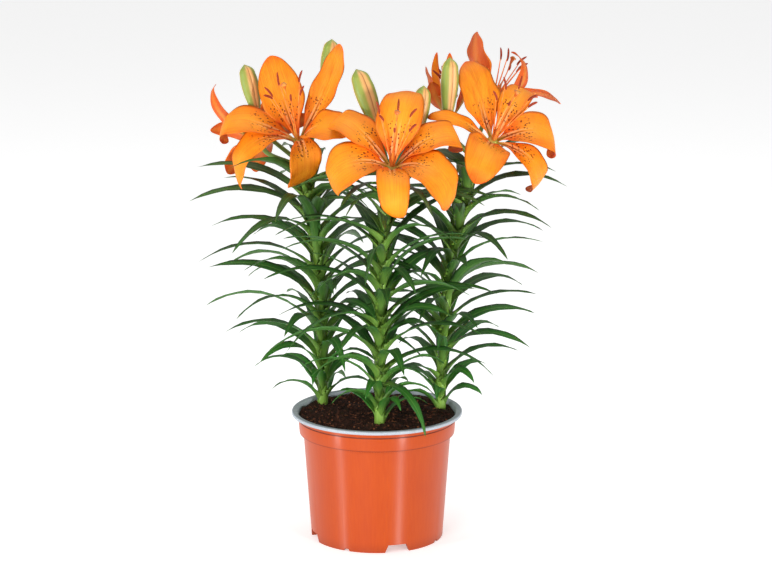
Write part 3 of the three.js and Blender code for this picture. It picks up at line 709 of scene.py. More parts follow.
def stem_axis(stem, z):
    """Point on a stem's axis at height z: its base, plus its lean times a power of the share of its
    height above the soil."""
    z = np.asarray(z, float)
    share = (np.maximum(z - SOIL_TOP, 0) / (stem["top"] - SOIL_TOP)) ** stem["bend"]
    x, y = (base + lean * share for base, lean in zip(stem["base"], stem["lean"]))
    return np.stack([x, y, z], -1)


def bloom_axes(bloom):
    """Throat, axis, and the directions across and above it."""
    axis = unit(bloom["facing"])
    across = unit(np.cross(UP, axis))
    return np.array(bloom["throat"], float), axis, across, np.cross(axis, across)


def pedicel_corners(head):
    """Four corners of the cubic curve that carries a head: up from the stem, then into the head along
    its axis."""
    stem = STEMS[head["stem"]]
    start = stem_axis(stem, stem["top"] - 3)
    if "throat" in head:
        throat, axis, _, _ = bloom_axes(head)
        end = throat - axis * (NECK_LENGTH + GAP)
    else:
        axis = unit(np.subtract(head["tip"], head["base"]))
        end = np.array(head["base"], float) - axis * GAP
    reach = np.linalg.norm(end - start)
    return start, start + UP * 0.3 * reach, end - axis * 0.4 * reach, end


def heads_of(name):
    """The blooms and buds of a stem."""
    return [head for head in [*BLOOMS.values(), *BUDS.values()] if head["stem"] == name]


# Tepals.
def tepal_half_width(t, half):
    """Half width that swells from the root to the middle, then closes like an ellipse's end."""
    fade = np.maximum((t - 0.46) / 0.54, 0)
    return half * (0.1 + 0.9 * smooth(t / 0.46)) * np.maximum(1 - fade ** 2.4, 0) ** 0.62


def tepal_arch(bloom, tepal, steps=CURVE_STEPS):
    """The midline of a tepal: an arch that leaves the receptacle's edge at the tepal's turn."""
    turn, rise, fall, power, length, _, sway = tepal
    throat, axis, across, above = bloom_axes(bloom)
    outward = across * math.cos(math.radians(turn)) + above * math.sin(math.radians(turn))
    start = throat + outward * TEPAL_BASE_RADIUS
    return arch(start, outward, axis, rise, fall, power, length, sway, steps)


def tepal_points(t, place, side, normal, half, v, lift):
    """Points at v across each station: along the side by width times v, and along the normal by a cup that
    rises with v squared near the throat and rolls back near the tip, plus lift."""
    width = tepal_half_width(t, half)[:, None]
    cup = (0.55 * (1 - t) ** 1.5 - 0.12 * t)[:, None]
    out = width * v
    up = width * cup * v * v + lift
    return place[:, None] + out[..., None] * np.expand_dims(side, -2) + up[..., None] * normal[:, None]


def blade_loop(count):
    """Values of v once round a blade, from -1 to 1 along its face and back along its back."""
    v = np.linspace(-1, 1, count)
    return np.append(v, v[-2:0:-1])


def add_tepal(skin, bloom, tepal, seed):
    """One tepal: the arch's stations crowd towards the tip, the edge ripples by a sine of t, and a groove
    shaped as a bell curve runs up the middle."""
    length, half = tepal[4], tepal[5]
    path = tepal_arch(bloom, tepal, 4 * CURVE_STEPS)
    t = 1 - (1 - np.linspace(0, 1, TEPAL_STATIONS + 1)) ** 1.25
    place, side, normal = at_stations(path, t)
    v = blade_loop(TEPAL_ACROSS)
    sign = np.where(np.arange(len(v)) < TEPAL_ACROSS, 1.0, -1.0)
    sign[[0, TEPAL_ACROSS - 1]] = 0
    t_column = t[:, None]
    width = tepal_half_width(t, half)[:, None]
    edge = np.abs(v) ** 3
    ripple = np.sin(t_column * (17 + 6 * spread(seed, 2)) + seed * 2.4 + np.sign(v) * 1.3)
    ripple = ripple * edge * smooth(t_column / 0.35) * smooth((1 - t_column) / 0.15) * min(half * 0.06, 1.1)
    groove = np.exp(-((v * width) / 1.6) ** 2) * smooth((0.75 - t_column) / 0.5)
    thick = 0.5 * TEPAL_THICKNESS * (1 - v * v) * (0.55 + 0.45 * smooth((1 - t_column) / 0.6))
    lift = sign * thick + ripple - 0.55 * groove
    points = tepal_points(t, place, side, normal, half, v[None], lift)
    skin.tube(
        points[:-1], place[0], place[-1],
        across=v[None], along=t_column[:-1], flat_x=(v * width)[:-1], flat_y=(t_column * length)[:-1],
        face=sign[None], seed=spread(seed, 7))


def lathe_along(bloom, profile, sides, steps):
    """Rings of a smooth profile of (height, radius) stops turned about a bloom's axis."""
    throat, axis, across, above = bloom_axes(bloom)
    low, high = profile[0][0], profile[-1][0]
    height = np.linspace(low, high, steps)
    radius = np.maximum(through(profile, height), 0.02)
    turn = turns(sides)
    circle = np.cos(turn)[:, None] * across + np.sin(turn)[:, None] * above
    rings = throat + height[:, None, None] * axis + radius[:, None, None] * circle[None]
    return rings, throat + low * axis, throat + high * axis


# Stamens.
def stamen_path(bloom, k, t):
    """A filament: along the axis by its length, and outward by a power of 1.15 of the share t."""
    throat, axis, across, above = bloom_axes(bloom)
    salt = bloom["throat"]
    turn = math.radians(bloom["tepals"][k][0] + 8 * (spread(k, salt[0]) - 0.5))
    outward = across * math.cos(turn) + above * math.sin(turn)
    lean = math.radians(bloom["spread"] + 5 * (spread(k, salt[1]) - 0.5))
    length = bloom["stamens"] * (0.94 + 0.12 * spread(k, salt[2]))
    out = 1.3 + length * math.sin(lean) * t ** 1.15
    points = throat + np.outer(1 + length * math.cos(lean) * t, axis) + np.outer(out, outward)
    return points, outward, axis


def turned(vector, axis, degrees):
    """A vector turned about a unit axis, by Rodrigues' formula."""
    angle = math.radians(degrees)
    flat = vector * math.cos(angle) + np.cross(axis, vector) * math.sin(angle)
    return flat + axis * np.dot(axis, vector) * (1 - math.cos(angle))


def add_anther(skin, bloom, k, tip, outward, axis):
    """An anther balanced on its filament: a bowed spindle with a furrow along it."""
    swing = 60 * (spread(k + 7, bloom["throat"][0]) - 0.5)
    along = unit(turned(outward, axis, swing) + (1.1 + spread(k + 7, bloom["throat"][1])) * axis)
    s = np.linspace(-1, 1, STAMEN_STATIONS)
    bow = unit(np.cross(np.cross(along, axis), along))
    path = tip + np.outer(s * ANTHER_LENGTH / 2, along) - np.outer(s * s * 0.9, bow)
    turn = turns(ANTHER_SIDES)
    furrow = 1 - 0.22 * np.maximum(np.cos(2 * turn), 0)
    radii = ANTHER_RADIUS * (1 - np.abs(s) ** 3) ** 0.6 + 0.03
    skin.tube(rings_along(path, radii, ANTHER_SIDES, furrow), path[0], path[-1], slot=1)


# Guard balls mark what the leaves must stay clear of.
def guard(owner, places, radius, t):
    """Balls of one thing, with their box, owner, and how far along it each lies."""
    places = np.asarray(places, float).reshape(-1, 3)
    count = len(places)
    return {
        "owner": owner, "places": places,
        "low": places.min(0) - GUARD_BOX, "high": places.max(0) + GUARD_BOX,
        "radius": np.broadcast_to(radius, count), "t": np.broadcast_to(t, count)}


def guards_of_plant():
    """Guards of the tepals, buds, pedicels and stalks."""
    guards = []
    v = np.array([-1, -0.66, -0.33, 0, 0.33, 0.66, 1])
    for bloom in BLOOMS.values():
        for tepal in bloom["tepals"]:
            t, place, side, normal = tepal_arch(bloom, tepal)
            points = tepal_points(t, place, side, normal, tepal[5], v[None], 0)
            guards.append(guard("head", points, TEPAL_GUARD, 1))
    for bud in BUDS.values():
        share = np.linspace(0, 1, 13)[:, None]
        points = np.array(bud["base"]) * (1 - share) + np.array(bud["tip"]) * share
        guards.append(guard("head", points, bud["radius"] + STALK_GUARD, 1))
    for head in [*BLOOMS.values(), *BUDS.values()]:
        share = np.linspace(0, 1, 21)
        points = bezier(pedicel_corners(head), share)
        guards.append(guard(head["stem"], points, PEDICEL_RADIUS + STALK_GUARD, share))
    for name, stem in STEMS.items():
        z = np.arange(SOIL_TOP, stem["top"] + 0.001, STALK_STEP)
        guards.append(guard(name, stem_axis(stem, z), stem_radius(z) + STALK_GUARD, 0))
    return guards


# Leaves.
def leaf_half_width(t, half):
    """Half width that swells over the first third and narrows to the tip."""
    taper = np.maximum((t - 0.3) / 0.7, 0)
    return half * (0.2 + 0.8 * smooth(t / 0.3)) * (1 - taper ** 1.8) ** 0.9


def leaf_shape(name, i):
    """The form of leaf i of a stem: long and arching in the middle, short near the soil, stiffer near the
    blooms. Each number has its own repeatable spread."""
    stem = STEMS[name]
    salt = stem["first_leaf"]
    climb = i / (LEAVES_PER_STEM - 1)
    low = 1 - smooth(climb / 0.28)
    high = smooth((climb - 0.7) / 0.3)
    return {
        "climb": climb,
        "z": LEAF_START + (stem["top"] - LEAF_TOP_MARGIN - LEAF_START) * climb ** LEAF_CROWDING,
        "azimuth": salt + i * LEAF_TURN + 14 * (spread(i, salt) - 0.5),
        "rise": 74 - 6 * low - 12 * high + 12 * (spread(i, salt + 1) - 0.5),
        "fall": -28 - 17 * low + 30 * (spread(i, salt + 2) - 0.5),
        "power": 0.7 + 0.6 * low,
        "length": stem["leafing"] * (126 - 66 * low - 14 * high) * (0.88 + 0.24 * spread(i, salt + 3)),
        "half": (6.6 - low + high) * (0.9 + 0.2 * spread(i, salt + 4)),
        "sway": 16 * (spread(i, salt + 5) - 0.5),
        "roll": 70 * (spread(i, salt + 6) - 0.5),
    }


def leaf_arch(name, leaf):
    """The midline of a leaf: an arch from inside the stalk, whose sides roll about it from the root on."""
    azimuth = math.radians(leaf["azimuth"])
    outward = np.array([math.cos(azimuth), math.sin(azimuth), 0])
    root = stem_axis(STEMS[name], leaf["z"]) + outward * LEAF_ROOT * stem_radius(leaf["z"])
    t, place, side, normal = arch(
        root, outward, UP, leaf["rise"], leaf["fall"], leaf["power"], leaf["length"], leaf["sway"])
    roll = np.radians(leaf["roll"] * smooth(t / 0.5))[:, None]
    return t, place, side * np.cos(roll) + normal * np.sin(roll), normal * np.cos(roll) - side * np.sin(roll)


def clears_pot(points, t):
    """Whether every ball of a leaf is above the rim and the soil, or above the ground outside the pot."""
    reach = np.hypot(points[:, 0], points[:, 1])
    over_rim = reach > RIM_INNER_RADIUS - RIM_ROOM
    floor = np.where(over_rim, POT_HEIGHT + GROUND_ROOM, SOIL_TOP + GROUND_ROOM)
    inside = (t < 0.05) | (points[:, 2] > floor)
    return bool(np.all(np.where(reach > RIM_RADIUS + RIM_ROOM, points[:, 2] > LEAF_GUARD, inside)))


def clears_guards(name, points, t, guards):
    """Whether no ball of a leaf meets another's; near the root, a stem's own leaves may crowd."""
    low, high = points.min(0), points.max(0)
    for own in (True, False):
        near = [
            g for g in guards
            if (g["owner"] == name) == own and np.all(g["low"] <= high) and np.all(g["high"] >= low)]
        if not near:
            continue
        places, radius, along = (np.concatenate([g[key] for g in near]) for key in ("places", "radius", "t"))
        mine = points[t >= CROWDED_PART] if own else points
        keep = np.all(places > mine.min(0) - GUARD_REACH, 1) & np.all(places < mine.max(0) + GUARD_REACH, 1)
        if own:
            keep &= along >= CROWDED_PART
        gaps = mine[:, None] - places[None, keep]
        if np.any(np.einsum("ijk,ijk->ij", gaps, gaps) < (radius[keep] + LEAF_GUARD) ** 2):
            return False
    return True


def bend_clear(name, leaf, guards):
    """The first bend of a leaf that is clear: it swings sideways, tilts, and then shrinks."""
    for shrink in SHRINKS:
        for swing in SWINGS:
            for tilt in TILTS:
                bent = {
                    **leaf, "azimuth": leaf["azimuth"] + swing, "rise": leaf["rise"] + tilt,
                    "fall": leaf["fall"] + tilt, "length": leaf["length"] * (1 - SHRINK_STEP * shrink)}
                path = leaf_arch(name, bent)
                t, place, side, _ = path
                out = leaf_half_width(t, bent["half"])[:, None] * np.array([-0.66, 0, 0.66])
                points = (place[:, None] + out[..., None] * side[:, None]).reshape(-1, 3)
                along = np.repeat(t, 3)
                if clears_pot(points, along) and clears_guards(name, points, along, guards):
                    guards.append(guard(name, points, LEAF_GUARD, along))
                    return {**bent, "path": path}
    return None


def place_leaves():
    """Every leaf of each stem, bent clear: the drooping one first, then leaf by leaf up all three stems."""
    guards = guards_of_plant()
    placed = {"left": [], "middle": [bend_clear("middle", DROOPING_LEAF, guards)], "right": []}
    for i in range(LEAVES_PER_STEM):
        for name in STEMS:
            leaf = bend_clear(name, leaf_shape(name, i), guards)
            if leaf:
                placed[name].append({**leaf, "seed": float(spread(i, STEMS[name]["first_leaf"] + 9))})
    return placed


def add_leaf(skin, leaf):
    """One leaf: its base wraps the stalk, its face is a shallow channel, its back has a keel, and it twists a
    little towards the tip."""
    t, v, back, face = (np.array(row) for row in (LEAF_STATIONS, LEAF_ACROSS, LEAF_BACK, LEAF_FACE))
    place, side, normal = at_stations(leaf["path"], t)
    clasp = 1 - smooth(t / 0.25)
    width = leaf_half_width(t, leaf["half"]) + leaf["half"] * 0.6 * clasp
    cup = (0.16 + 0.75 * clasp)[:, None]
    wave = 0.5 * np.sin(t * 21 + leaf["seed"] * 40) * smooth(t / 0.3)
    ripple = wave[:, None] * np.sign(v) * v * v
    thin = (0.35 + 0.65 * smooth((1 - t) / 0.5))[:, None]
    lift = width[:, None] * cup * v * v + ripple - LEAF_KEEL * thin * back
    out = width[:, None] * v
    points = place[:, None] + out[..., None] * side[:, None] + lift[..., None] * normal[:, None]
    skin.tube(
        points[:-1], place[0], place[-1],
        across=v[None], along=t[:-1, None], flat_x=out[:-1], flat_y=(t * leaf["length"])[:-1, None],
        face=face[None], climb=leaf["climb"], seed=leaf["seed"])


def add_stalk(skin, name):
    """A stalk with five low ridges that wind up it, and its pedicels, which swell where they leave it."""
    stem = STEMS[name]
    z = np.linspace(STEM_FOOT, stem["top"] + 1.5, STALK_STATIONS)
    turn = turns(STALK_SIDES)
    ridge = 1 + 0.035 * np.cos(5 * turn[None] + z[:, None] * 0.08)
    radii = stem_radius(z) * (1 - 0.5 * smooth((z - stem["top"] + 3) / 4.5))
    path = stem_axis(stem, z)
    climb = (z - SOIL_TOP) / (stem["top"] - SOIL_TOP)
    skin.tube(
        rings_along(path, radii, STALK_SIDES, ridge), path[0], path[-1], slot=1,
        across=np.cos(turn)[None], climb=climb[:, None])
    for head in heads_of(name):
        t = np.linspace(0, 1, PEDICEL_STATIONS)
        path = bezier(pedicel_corners(head), t)
        radii = PEDICEL_RADIUS * (1 + 0.35 * (1 - t) ** 4 + 0.12 * t ** 6)
        skin.tube(
            rings_along(path, radii, PEDICEL_SIDES), path[0], path[-1], slot=1,
            across=np.cos(turns(PEDICEL_SIDES))[None], climb=1)


# Pot.
def lathe_rings(profile, sides):
    """Each (radius, height) point of a profile turned once about the upright axis."""
    angle = turns(sides)
    radius, height = np.array(profile, float).T
    x = radius[:, None] * np.sin(angle)
    y = -radius[:, None] * np.cos(angle)
    return np.stack([x, y, np.broadcast_to(height[:, None], x.shape)], -1)


def rounded(profile, radius, steps=3):
    """A profile whose corners are cut and curved: each corner becomes a short quadratic curve."""
    points = np.array(profile, float)
    made = [points[0]]
    for before, corner, after in zip(points[:-2], points[1:-1], points[2:]):
        first = unit(before - corner) * min(radius, np.linalg.norm(before - corner) * 0.4)
        last = unit(after - corner) * min(radius, np.linalg.norm(after - corner) * 0.4)
        for s in np.linspace(0, 1, steps):
            made.append(corner + first * (1 - s) ** 2 + last * s ** 2)
    made.append(points[-1])
    return np.array(made)


def pot_cutters():
    """Wedges for the foot's notches and prisms for the drain holes, as one mesh."""
    shape = bmesh.new()

    def prism(corners, depth):
        """A closed prism from its corners and the step to its other end."""
        rows = [shape.verts.new(corner) for corner in corners]
        ends = [shape.verts.new(np.add(corner, depth)) for corner in corners]
        count = len(rows)
        shape.faces.new(rows)
        shape.faces.new(ends[::-1])
        for j in range(count):
            after = (j + 1) % count
            shape.faces.new((rows[after], rows[j], ends[j], ends[after]))

    for k in range(4):
        for (width, height), turn in ((WIDE_NOTCH, NOTCH_TURN), (SMALL_NOTCH, NOTCH_TURN + 45)):
            angle = math.radians(turn + 90 * k)
            outward = np.array([math.sin(angle), -math.cos(angle), 0])
            side = np.array([math.cos(angle), math.sin(angle), 0])
            outline = (
                (-width / 2 - 1, -1), (width / 2 + 1, -1),
                (width / 2 - height / 3, height), (-width / 2 + height / 3, height))
            corners = [
                (outward * (FOOT_RADIUS - 2 * FOOT_WIDTH) + side * x + UP * z) * MM for x, z in outline]
            prism(corners, outward * 3 * FOOT_WIDTH * MM)
    around = lathe_rings([(DRAIN_RADIUS, 0)], DRAIN_SIDES)[0]
    for angle in turns(DRAIN_COUNT):
        centre = np.array([math.cos(angle), math.sin(angle), 0]) * DRAIN_CIRCLE + UP * (FLOOR_UNDERSIDE - 1)
        prism((centre + around) * MM, UP * (FLOOR_TOP - FLOOR_UNDERSIDE + 2) * MM)
    bmesh.ops.recalc_face_normals(shape, faces=shape.faces)
    mesh = bpy.data.meshes.new("pot_cutters")
    shape.to_mesh(mesh)
    shape.free()
    return bpy.data.objects.new("pot_cutters", mesh)


def cut_away(piece, cutters):
    """Cuts the cutters out of a piece for good, and removes them."""
    bpy.context.scene.collection.objects.link(cutters)
    cut = piece.modifiers.new("notches", "BOOLEAN")
    cut.operation = "DIFFERENCE"
    cut.solver = "EXACT"
    cut.object = cutters
    depsgraph = bpy.context.evaluated_depsgraph_get()
    mesh = bpy.data.meshes.new_from_object(piece.evaluated_get(depsgraph))
    piece.modifiers.clear()
    piece.data = mesh
    bpy.data.objects.remove(cutters)


# Soil.
def soil_height(x, y):
    """Height of the soil: broad waves, finer ones that bend each other, and a short ripple, all of them
    sines of x and y."""
    bumps = np.sin(0.11 * x + 1.3) * np.cos(0.13 * y) + np.sin(0.19 * (x + y))
    fine = np.sin(0.9 * x + 2 * np.sin(0.5 * y)) * np.sin(0.8 * y + 2 * np.sin(0.45 * x))
    ripple = np.sin(1.9 * x + 1.1 * y) * np.sin(2.1 * y - x)
    return SOIL_TOP + 0.5 * SOIL_BUMP * bumps + 0.8 * fine + 0.4 * ripple


# Settings that a user would change.
def tint(name, description, red, green, blue):
    """A colour setting, whose default is given in steps of 0 to 255."""
    return bpy.props.FloatVectorProperty(
        name=name, description=description, subtype="COLOR", min=0, max=1, default=colour(red, green, blue))


class PotSettings(bpy.types.PropertyGroup):
    """Colours of the pot."""

    pot_colour: tint("Outside", "Colour of the pot's outside", 170, 60, 2)
    pot_pale: tint("Outside, paler", "Paler streaks of the outside", 184, 74, 3)
    lining_colour: tint("Lining", "Colour of the lip and the inside", 168, 176, 184)


class SoilSettings(bpy.types.PropertyGroup):
    """Colours and bits of the soil."""

    soil_colour: tint("Crumbs", "Colour of the crumbs", 78, 42, 28)
    soil_dark: tint("Gaps", "Colour between the crumbs", 26, 14, 10)
    fibre_colour: tint("Fibres", "Colour of the palest fibres", 150, 92, 60)
    bits: bpy.props.IntProperty(
        name="Bits", description="How many bits of bark and fibre lie on the soil", default=1400, min=0)


class FoliageSettings(bpy.types.PropertyGroup):
    """Colours of the leaves and stalks."""

    leaf_colour: tint("Leaf", "Colour of the middle leaves", 22, 66, 20)
    leaf_low_colour: tint("Lower leaf", "Colour of the leaves near the soil", 34, 104, 28)
    leaf_top_colour: tint("Upper leaf", "Colour of the leaves near the blooms", 58, 62, 20)
    stalk_colour: tint("Stalk", "Colour of the stalks and leaf bases", 134, 176, 66)


class BloomSettings(bpy.types.PropertyGroup):
    """Colours of the blooms and buds."""

    tepal_colour: tint("Tepal", "Colour of the tepals", 240, 136, 12)
    tepal_pale: tint("Tepal, paler", "Colour beside the midrib", 246, 160, 36)
    tepal_deep: tint("Tepal, deeper", "Colour at the throat, edges and tips", 222, 66, 8)
    back_colour: tint("Back", "Colour of the tepals' backs", 200, 72, 20)
    fleck_colour: tint("Flecks", "Colour of the flecks", 112, 22, 4)
    bud_colour: tint("Bud", "Colour of the buds", 138, 150, 58)
    bud_rib_colour: tint("Bud ribs", "Colour beside the buds' seams", 226, 170, 104)


class StageSettings(bpy.types.PropertyGroup):
    """Floor and light."""

    floor_colour: bpy.props.FloatVectorProperty(
        name="Floor", description="Colour of the floor", subtype="COLOR", min=0, max=1,
        default=(0.86, 0.86, 0.86))
    key_power: bpy.props.FloatProperty(
        name="Key light", description="Power of the main light", default=27, min=0, unit="POWER")
    sky_strength: bpy.props.FloatProperty(
        name="Sky", description="Strength of the even light from all round", default=0.5, min=0)


# Makers.
class MakePot(bpy.types.Operator):
    """Pot: a thin tapering wall with a collar and a lip, notched at its foot"""

    bl_idname = "potted_lily.make_pot"
    bl_label = "Pot"

    def execute(self, context):
        profile = [
            (FOOT_RADIUS - FOOT_WIDTH, FLOOR_UNDERSIDE), (FOOT_RADIUS - FOOT_WIDTH, 0), (FOOT_RADIUS, 0),
            (WALL_TOP_RADIUS, COLLAR_FOOT), (COLLAR_FOOT_RADIUS, COLLAR_FOOT),
            (COLLAR_RADIUS - 0.7, GROOVE_HEIGHT - 0.5), (COLLAR_RADIUS - GROOVE_DEPTH, GROOVE_HEIGHT),
            (COLLAR_RADIUS - 0.5, GROOVE_HEIGHT + 0.6), (COLLAR_RADIUS, POT_HEIGHT - RIM_DROP),
            (RIM_RADIUS, POT_HEIGHT - RIM_DROP), (RIM_RADIUS, POT_HEIGHT - 0.6),
            (RIM_RADIUS - 0.7, POT_HEIGHT), (RIM_INNER_RADIUS + 0.3, POT_HEIGHT),
            (RIM_INNER_RADIUS - LIP_WIDTH, POT_HEIGHT - LIP_DROP),
            (COLLAR_FOOT_RADIUS - WALL, COLLAR_FOOT + WALL),
            (WALL_TOP_RADIUS - WALL, COLLAR_FOOT - INNER_STEP), (FOOT_RADIUS - WALL, FLOOR_TOP)]
        skin = Skin()
        rings = lathe_rings(rounded(profile, ROUNDING), POT_TURNS)
        skin.tube(rings, (0, 0, FLOOR_UNDERSIDE), (0, 0, FLOOR_TOP))
        pot = skin.build("pot_shell", [pot_finish(context.scene.potted_lily_pot)])
        cut_away(pot, pot_cutters())
        pot.data.set_sharp_from_angle(angle=math.radians(SHARP_ANGLE))
        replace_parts(pot, "pot")
        return {"FINISHED"}


class MakeSoil(bpy.types.Operator):
    """Soil: a lumpy top, strewn with bits of bark and fibre"""

    bl_idname = "potted_lily.make_soil"
    bl_label = "Soil"

    def execute(self, context):
        look = context.scene.potted_lily_soil
        room = 2 * GAP
        edge = RIM_INNER_RADIUS - 2 - room
        sides = lathe_rings([
            (FOOT_RADIUS - WALL - room, FLOOR_TOP + GAP),
            (WALL_TOP_RADIUS - WALL - room, COLLAR_FOOT - INNER_STEP),
            (COLLAR_FOOT_RADIUS - WALL - room, COLLAR_FOOT + WALL + 1)], SOIL_TURNS)
        top = lathe_rings([(edge * share, 0) for share in np.linspace(1, 0.02, SOIL_RINGS)], SOIL_TURNS)
        top[..., 2] = soil_height(top[..., 0], top[..., 1])
        skin = Skin()
        skin.tube([*sides, *top], (0, 0, FLOOR_TOP + GAP), (0, 0, soil_height(0, 0)))
        soil = skin.build("soil_bed", [soil_finish(look)])
        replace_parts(soil, "soil")
        draw = np.random.default_rng(SOIL_SEED)
        bits = Skin("seed")
        for _ in range(look.bits):
            reach = (edge - BIT_MARGIN) * math.sqrt(draw.random())
            angle = draw.random() * math.tau
            x, y = reach * math.cos(angle), reach * math.sin(angle)
            slim = draw.random() < 0.45
            long = draw.uniform(3, 8) if slim else draw.uniform(1, 2.6)
            thick = draw.uniform(0.2, 0.45) if slim else draw.uniform(0.5, 1.3)
            heading = draw.random() * math.tau
            slope = draw.uniform(-0.35, 0.35)
            along = np.array([math.cos(heading), math.sin(heading), slope])
            centre = np.array([x, y, soil_height(x, y) + thick * 0.5 + abs(slope) * long * 0.25])
            s = np.linspace(-1, 1, 4)
            bend = np.outer(s * s * draw.uniform(-0.2, 0.2) * long, [-along[1], along[0], 0.4])
            path = centre + np.outer(s * long / 2, along) + bend
            radii = thick * np.array([0.45, 1, 0.9, 0.35]) * draw.uniform(0.8, 1.2, 4)
            bits.tube(rings_along(path, radii, BIT_SIDES), path[0], path[-1], seed=draw.random())
        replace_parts(bits.build("soil_bits", [fibre_finish(look)]), "soil")
        return {"FINISHED"}


class MakeStems(bpy.types.Operator):
    """Leafy stems: stalks, pedicels and leaves that arch clear of each other"""

    bl_idname = "potted_lily.make_stems"
    bl_label = "Leafy stems"

    def execute(self, context):
        look = context.scene.potted_lily_foliage
        finishes = [leaf_finish(look), stalk_finish(look)]
        for name, leaves in place_leaves().items():
            skin = Skin("across", "along", "flat_x", "flat_y", "face", "climb", "seed")
            add_stalk(skin, name)
            for leaf in leaves:
                add_leaf(skin, leaf)
            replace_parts(skin.build(f"leafy_stem_{name}", finishes), f"stem_{name}")
        return {"FINISHED"}


class MakeTepals(bpy.types.Operator):
    """Tepals: six curved blades on a short neck in each bloom"""

    bl_idname = "potted_lily.make_tepals"
    bl_label = "Tepals"

    def execute(self, context):
        finishes = [
            tepal_finish(context.scene.potted_lily_bloom),
            plain_finish(
                "neck_green", colour(150, 150, 60), colour(214, 130, 50), 220, 0.0003, {"Roughness": 0.5})]
        for number, (name, bloom) in enumerate(BLOOMS.items()):
            skin = Skin("across", "along", "flat_x", "flat_y", "face", "seed")
            skin.tube(*lathe_along(bloom, NECK_PROFILE, NECK_SIDES, NECK_STEPS), slot=1)
            for k, tepal in enumerate(bloom["tepals"]):
                add_tepal(skin, bloom, tepal, number * 6 + k)
            piece = skin.build(f"tepals_{name}", finishes)
            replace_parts(piece, f"bloom_{name}_tepals")
        return {"FINISHED"}


class MakeStamens(bpy.types.Operator):
    """Stamens: six filaments with anthers round a longer style in each bloom"""

    bl_idname = "potted_lily.make_stamens"
    bl_label = "Stamens"

    def execute(self, context):
        finishes = [
            plain_finish(
                "filament", colour(246, 150, 60), colour(236, 112, 40), 150, 0.0002, {"Roughness": 0.45}),
            plain_finish(
                "anther_pollen", colour(122, 30, 10), colour(172, 64, 20), 1500, 0.0006, {"Roughness": 0.85}),
            plain_finish(
                "pistil", colour(220, 150, 56), colour(206, 96, 36), 160, 0.0002, {"Roughness": 0.4})]
        t = np.linspace(0, 1, STAMEN_STATIONS)
        for name, bloom in BLOOMS.items():
            skin = Skin()
            top = bloom["stamens"] + STYLE_EXTRA
            for k in range(6):
                path, outward, axis = stamen_path(bloom, k, t)
                radii = FILAMENT_RADIUS * (1 - 0.55 * t)
                skin.tube(rings_along(path, radii, FILAMENT_SIDES), path[0], path[-1])
                add_anther(skin, bloom, k, path[-1], outward, axis)
            pistil = [
                (0.3, 2.3), (8, 2.5), (16, 1.9), (20, 1.0), (top - 8, 0.9), (top - 2, 1.9),
                (top + 0.6, 2.1), (top + 1.2, 0)]
            rings, low, high = lathe_along(bloom, pistil, PISTIL_SIDES, PISTIL_STEPS)
            lobes = 1 + 0.16 * np.cos(3 * turns(PISTIL_SIDES))
            head = smooth((np.linspace(0, 1, PISTIL_STEPS) - 0.92) / 0.05)[:, None, None]
            core = rings.mean(1, keepdims=True)
            rings = core + (rings - core) * (1 + (lobes[None, :, None] - 1) * head)
            skin.tube(rings, low, high, slot=2)
            piece = skin.build(f"stamens_{name}", finishes)
            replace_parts(piece, f"bloom_{name}_stamens")
        return {"FINISHED"}


class MakeBuds(bpy.types.Operator):
    """Buds: closed spindles of three lobes with a seam between each two"""

    bl_idname = "potted_lily.make_buds"
    bl_label = "Buds"

    def execute(self, context):
        finishes = [bud_finish(context.scene.potted_lily_bloom)]
        turn = turns(BUD_SIDES)
        t = np.linspace(0, 1, BUD_STEPS + 1)
        for number, (name, bud) in enumerate(BUDS.items()):
            base, tip = np.array(bud["base"], float), np.array(bud["tip"], float)
            path = base + np.outer(t, tip - base)
            share = np.maximum(through(BUD_PROFILE, t), 0.0)[:, None]
            seam = np.exp(-((np.cos(1.5 * turn) / 0.22) ** 2))[None] * smooth(t / 0.15)[:, None]
            lobe = 1 + BUD_RIB * np.cos(3 * turn)[None] - 0.09 * seam
            lobe = lobe + 0.03 * np.exp(-((np.sin(1.5 * turn) / 0.16) ** 2))[None]
            rings = rings_along(path, bud["radius"] * share, BUD_SIDES, lobe)
            skin = Skin("along", "rib", "around", "seed")
            skin.tube(
                rings[:-1], base, tip, along=t[:-1, None], rib=np.cos(3 * turn)[None],
                around=np.cos(turn)[None], seed=number * 3.7)
            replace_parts(skin.build(f"flower_bud_{name}", finishes), f"bud_{name}")
        return {"FINISHED"}


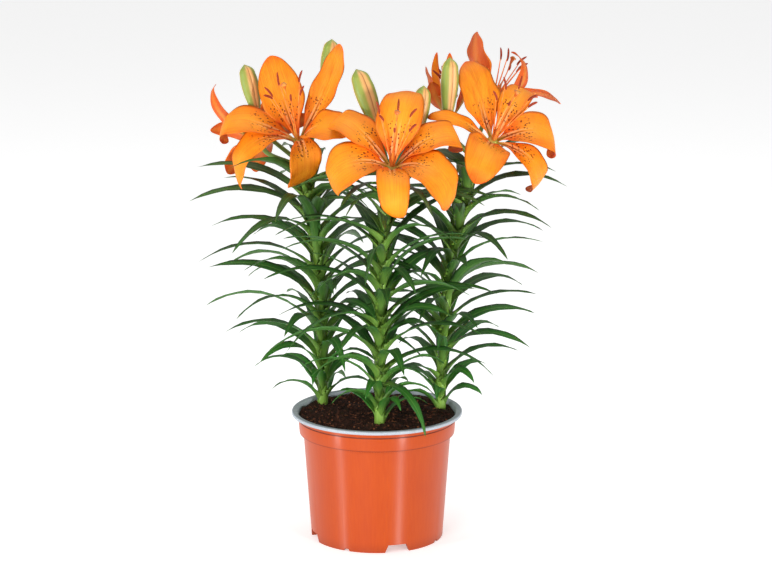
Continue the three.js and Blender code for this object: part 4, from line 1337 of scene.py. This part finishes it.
class MakeStage(bpy.types.Operator):
    """Stage: a pale floor, soft lights and the photograph's camera"""

    bl_idname = "potted_lily.make_stage"
    bl_label = "Stage"

    def execute(self, context):
        look = context.scene.potted_lily_stage
        scene = context.scene
        mesh = bpy.data.meshes.new("floor")
        corners = [(x * FLOOR_REACH, y * FLOOR_REACH, 0) for x, y in ((-1, -1), (1, -1), (1, 1), (-1, 1))]
        mesh.from_pydata(corners, [], [(0, 1, 2, 3)])
        finish = Finish("floor_paper", {
            "Roughness": 0.9, "Specular IOR Level": 0.1, "Emission Color": (1, 1, 1, 1),
            "Emission Strength": 0.45})
        grain = finish.noise(finish.place(), 6, 2)
        finish.feed("Base Color", finish.mix(
            grain * 0.1, tuple(look.floor_colour), tuple(0.96 * x for x in look.floor_colour)))
        mesh.materials.append(finish.material)
        floor = bpy.data.objects.new("floor", mesh)
        scene.collection.objects.link(floor)
        for name, (place, target, width, height, share) in LIGHTS.items():
            light = bpy.data.lights.new(name, "AREA")
            light.shape = "RECTANGLE"
            light.size = width
            light.size_y = height
            light.energy = look.key_power * share
            lamp = bpy.data.objects.new(name, light)
            away = unit(np.subtract(place, target))
            across = unit(np.cross(UP, away))
            turned_to = np.eye(4)
            turned_to[:3] = np.stack([across, np.cross(away, across), away, place], 1)
            lamp.matrix_world = Matrix(turned_to.tolist())
            scene.collection.objects.link(lamp)
        world = bpy.data.worlds.new("studio")
        world.use_nodes = True
        background = world.node_tree.nodes["Background"]
        background.inputs["Color"].default_value = (1, 1, 1, 1)
        background.inputs["Strength"].default_value = look.sky_strength
        scene.world = world
        scene.view_settings.view_transform = "Standard"
        lens = bpy.data.cameras.new("photo_camera")
        lens.sensor_fit = "HORIZONTAL"
        lens.sensor_width = SENSOR_WIDTH
        lens.lens = SENSOR_WIDTH * FOCAL_PIXELS / FRAME_WIDTH
        camera = bpy.data.objects.new("photo_camera", lens)
        camera.location = CAMERA_PLACE
        camera.rotation_euler = (math.radians(90 - CAMERA_PITCH), 0, 0)
        scene.collection.objects.link(camera)
        scene.camera = camera
        return {"FINISHED"}


class PottedLilyPanel(bpy.types.Panel):
    """Lists the makers of the potted lily"""

    bl_idname = "VIEW3D_PT_potted_lily"
    bl_label = "Potted lily"
    bl_space_type = "VIEW_3D"
    bl_region_type = "UI"
    bl_category = "Potted lily"

    def draw(self, context):
        for group in SETTINGS:
            box = self.layout.box()
            held = getattr(context.scene, group)
            for name in held.bl_rna.properties.keys():
                if name not in ("rna_type", "name"):
                    box.prop(held, name)
        for operator in OPERATORS:
            self.layout.operator(operator.bl_idname)


SETTINGS = {
    "potted_lily_pot": PotSettings,
    "potted_lily_soil": SoilSettings,
    "potted_lily_foliage": FoliageSettings,
    "potted_lily_bloom": BloomSettings,
    "potted_lily_stage": StageSettings,
}
OPERATORS = (MakePot, MakeSoil, MakeStems, MakeTepals, MakeStamens, MakeBuds, MakeStage)
CLASSES = (*SETTINGS.values(), *OPERATORS, PottedLilyPanel)


def register():
    """Registers every class, and gives the scene its settings."""
    for kind in CLASSES:
        bpy.utils.register_class(kind)
    for name, group in SETTINGS.items():
        setattr(bpy.types.Scene, name, bpy.props.PointerProperty(type=group))


def unregister():
    """Takes back what register did, in the opposite order."""
    for name in SETTINGS:
        delattr(bpy.types.Scene, name)
    for kind in reversed(CLASSES):
        bpy.utils.unregister_class(kind)


def main():
    register()
    bpy.ops.potted_lily.make_pot()
    bpy.ops.potted_lily.make_soil()
    bpy.ops.potted_lily.make_stems()
    bpy.ops.potted_lily.make_tepals()
    bpy.ops.potted_lily.make_stamens()
    bpy.ops.potted_lily.make_buds()
    bpy.ops.potted_lily.make_stage()


if __name__ == "__main__":
    main()
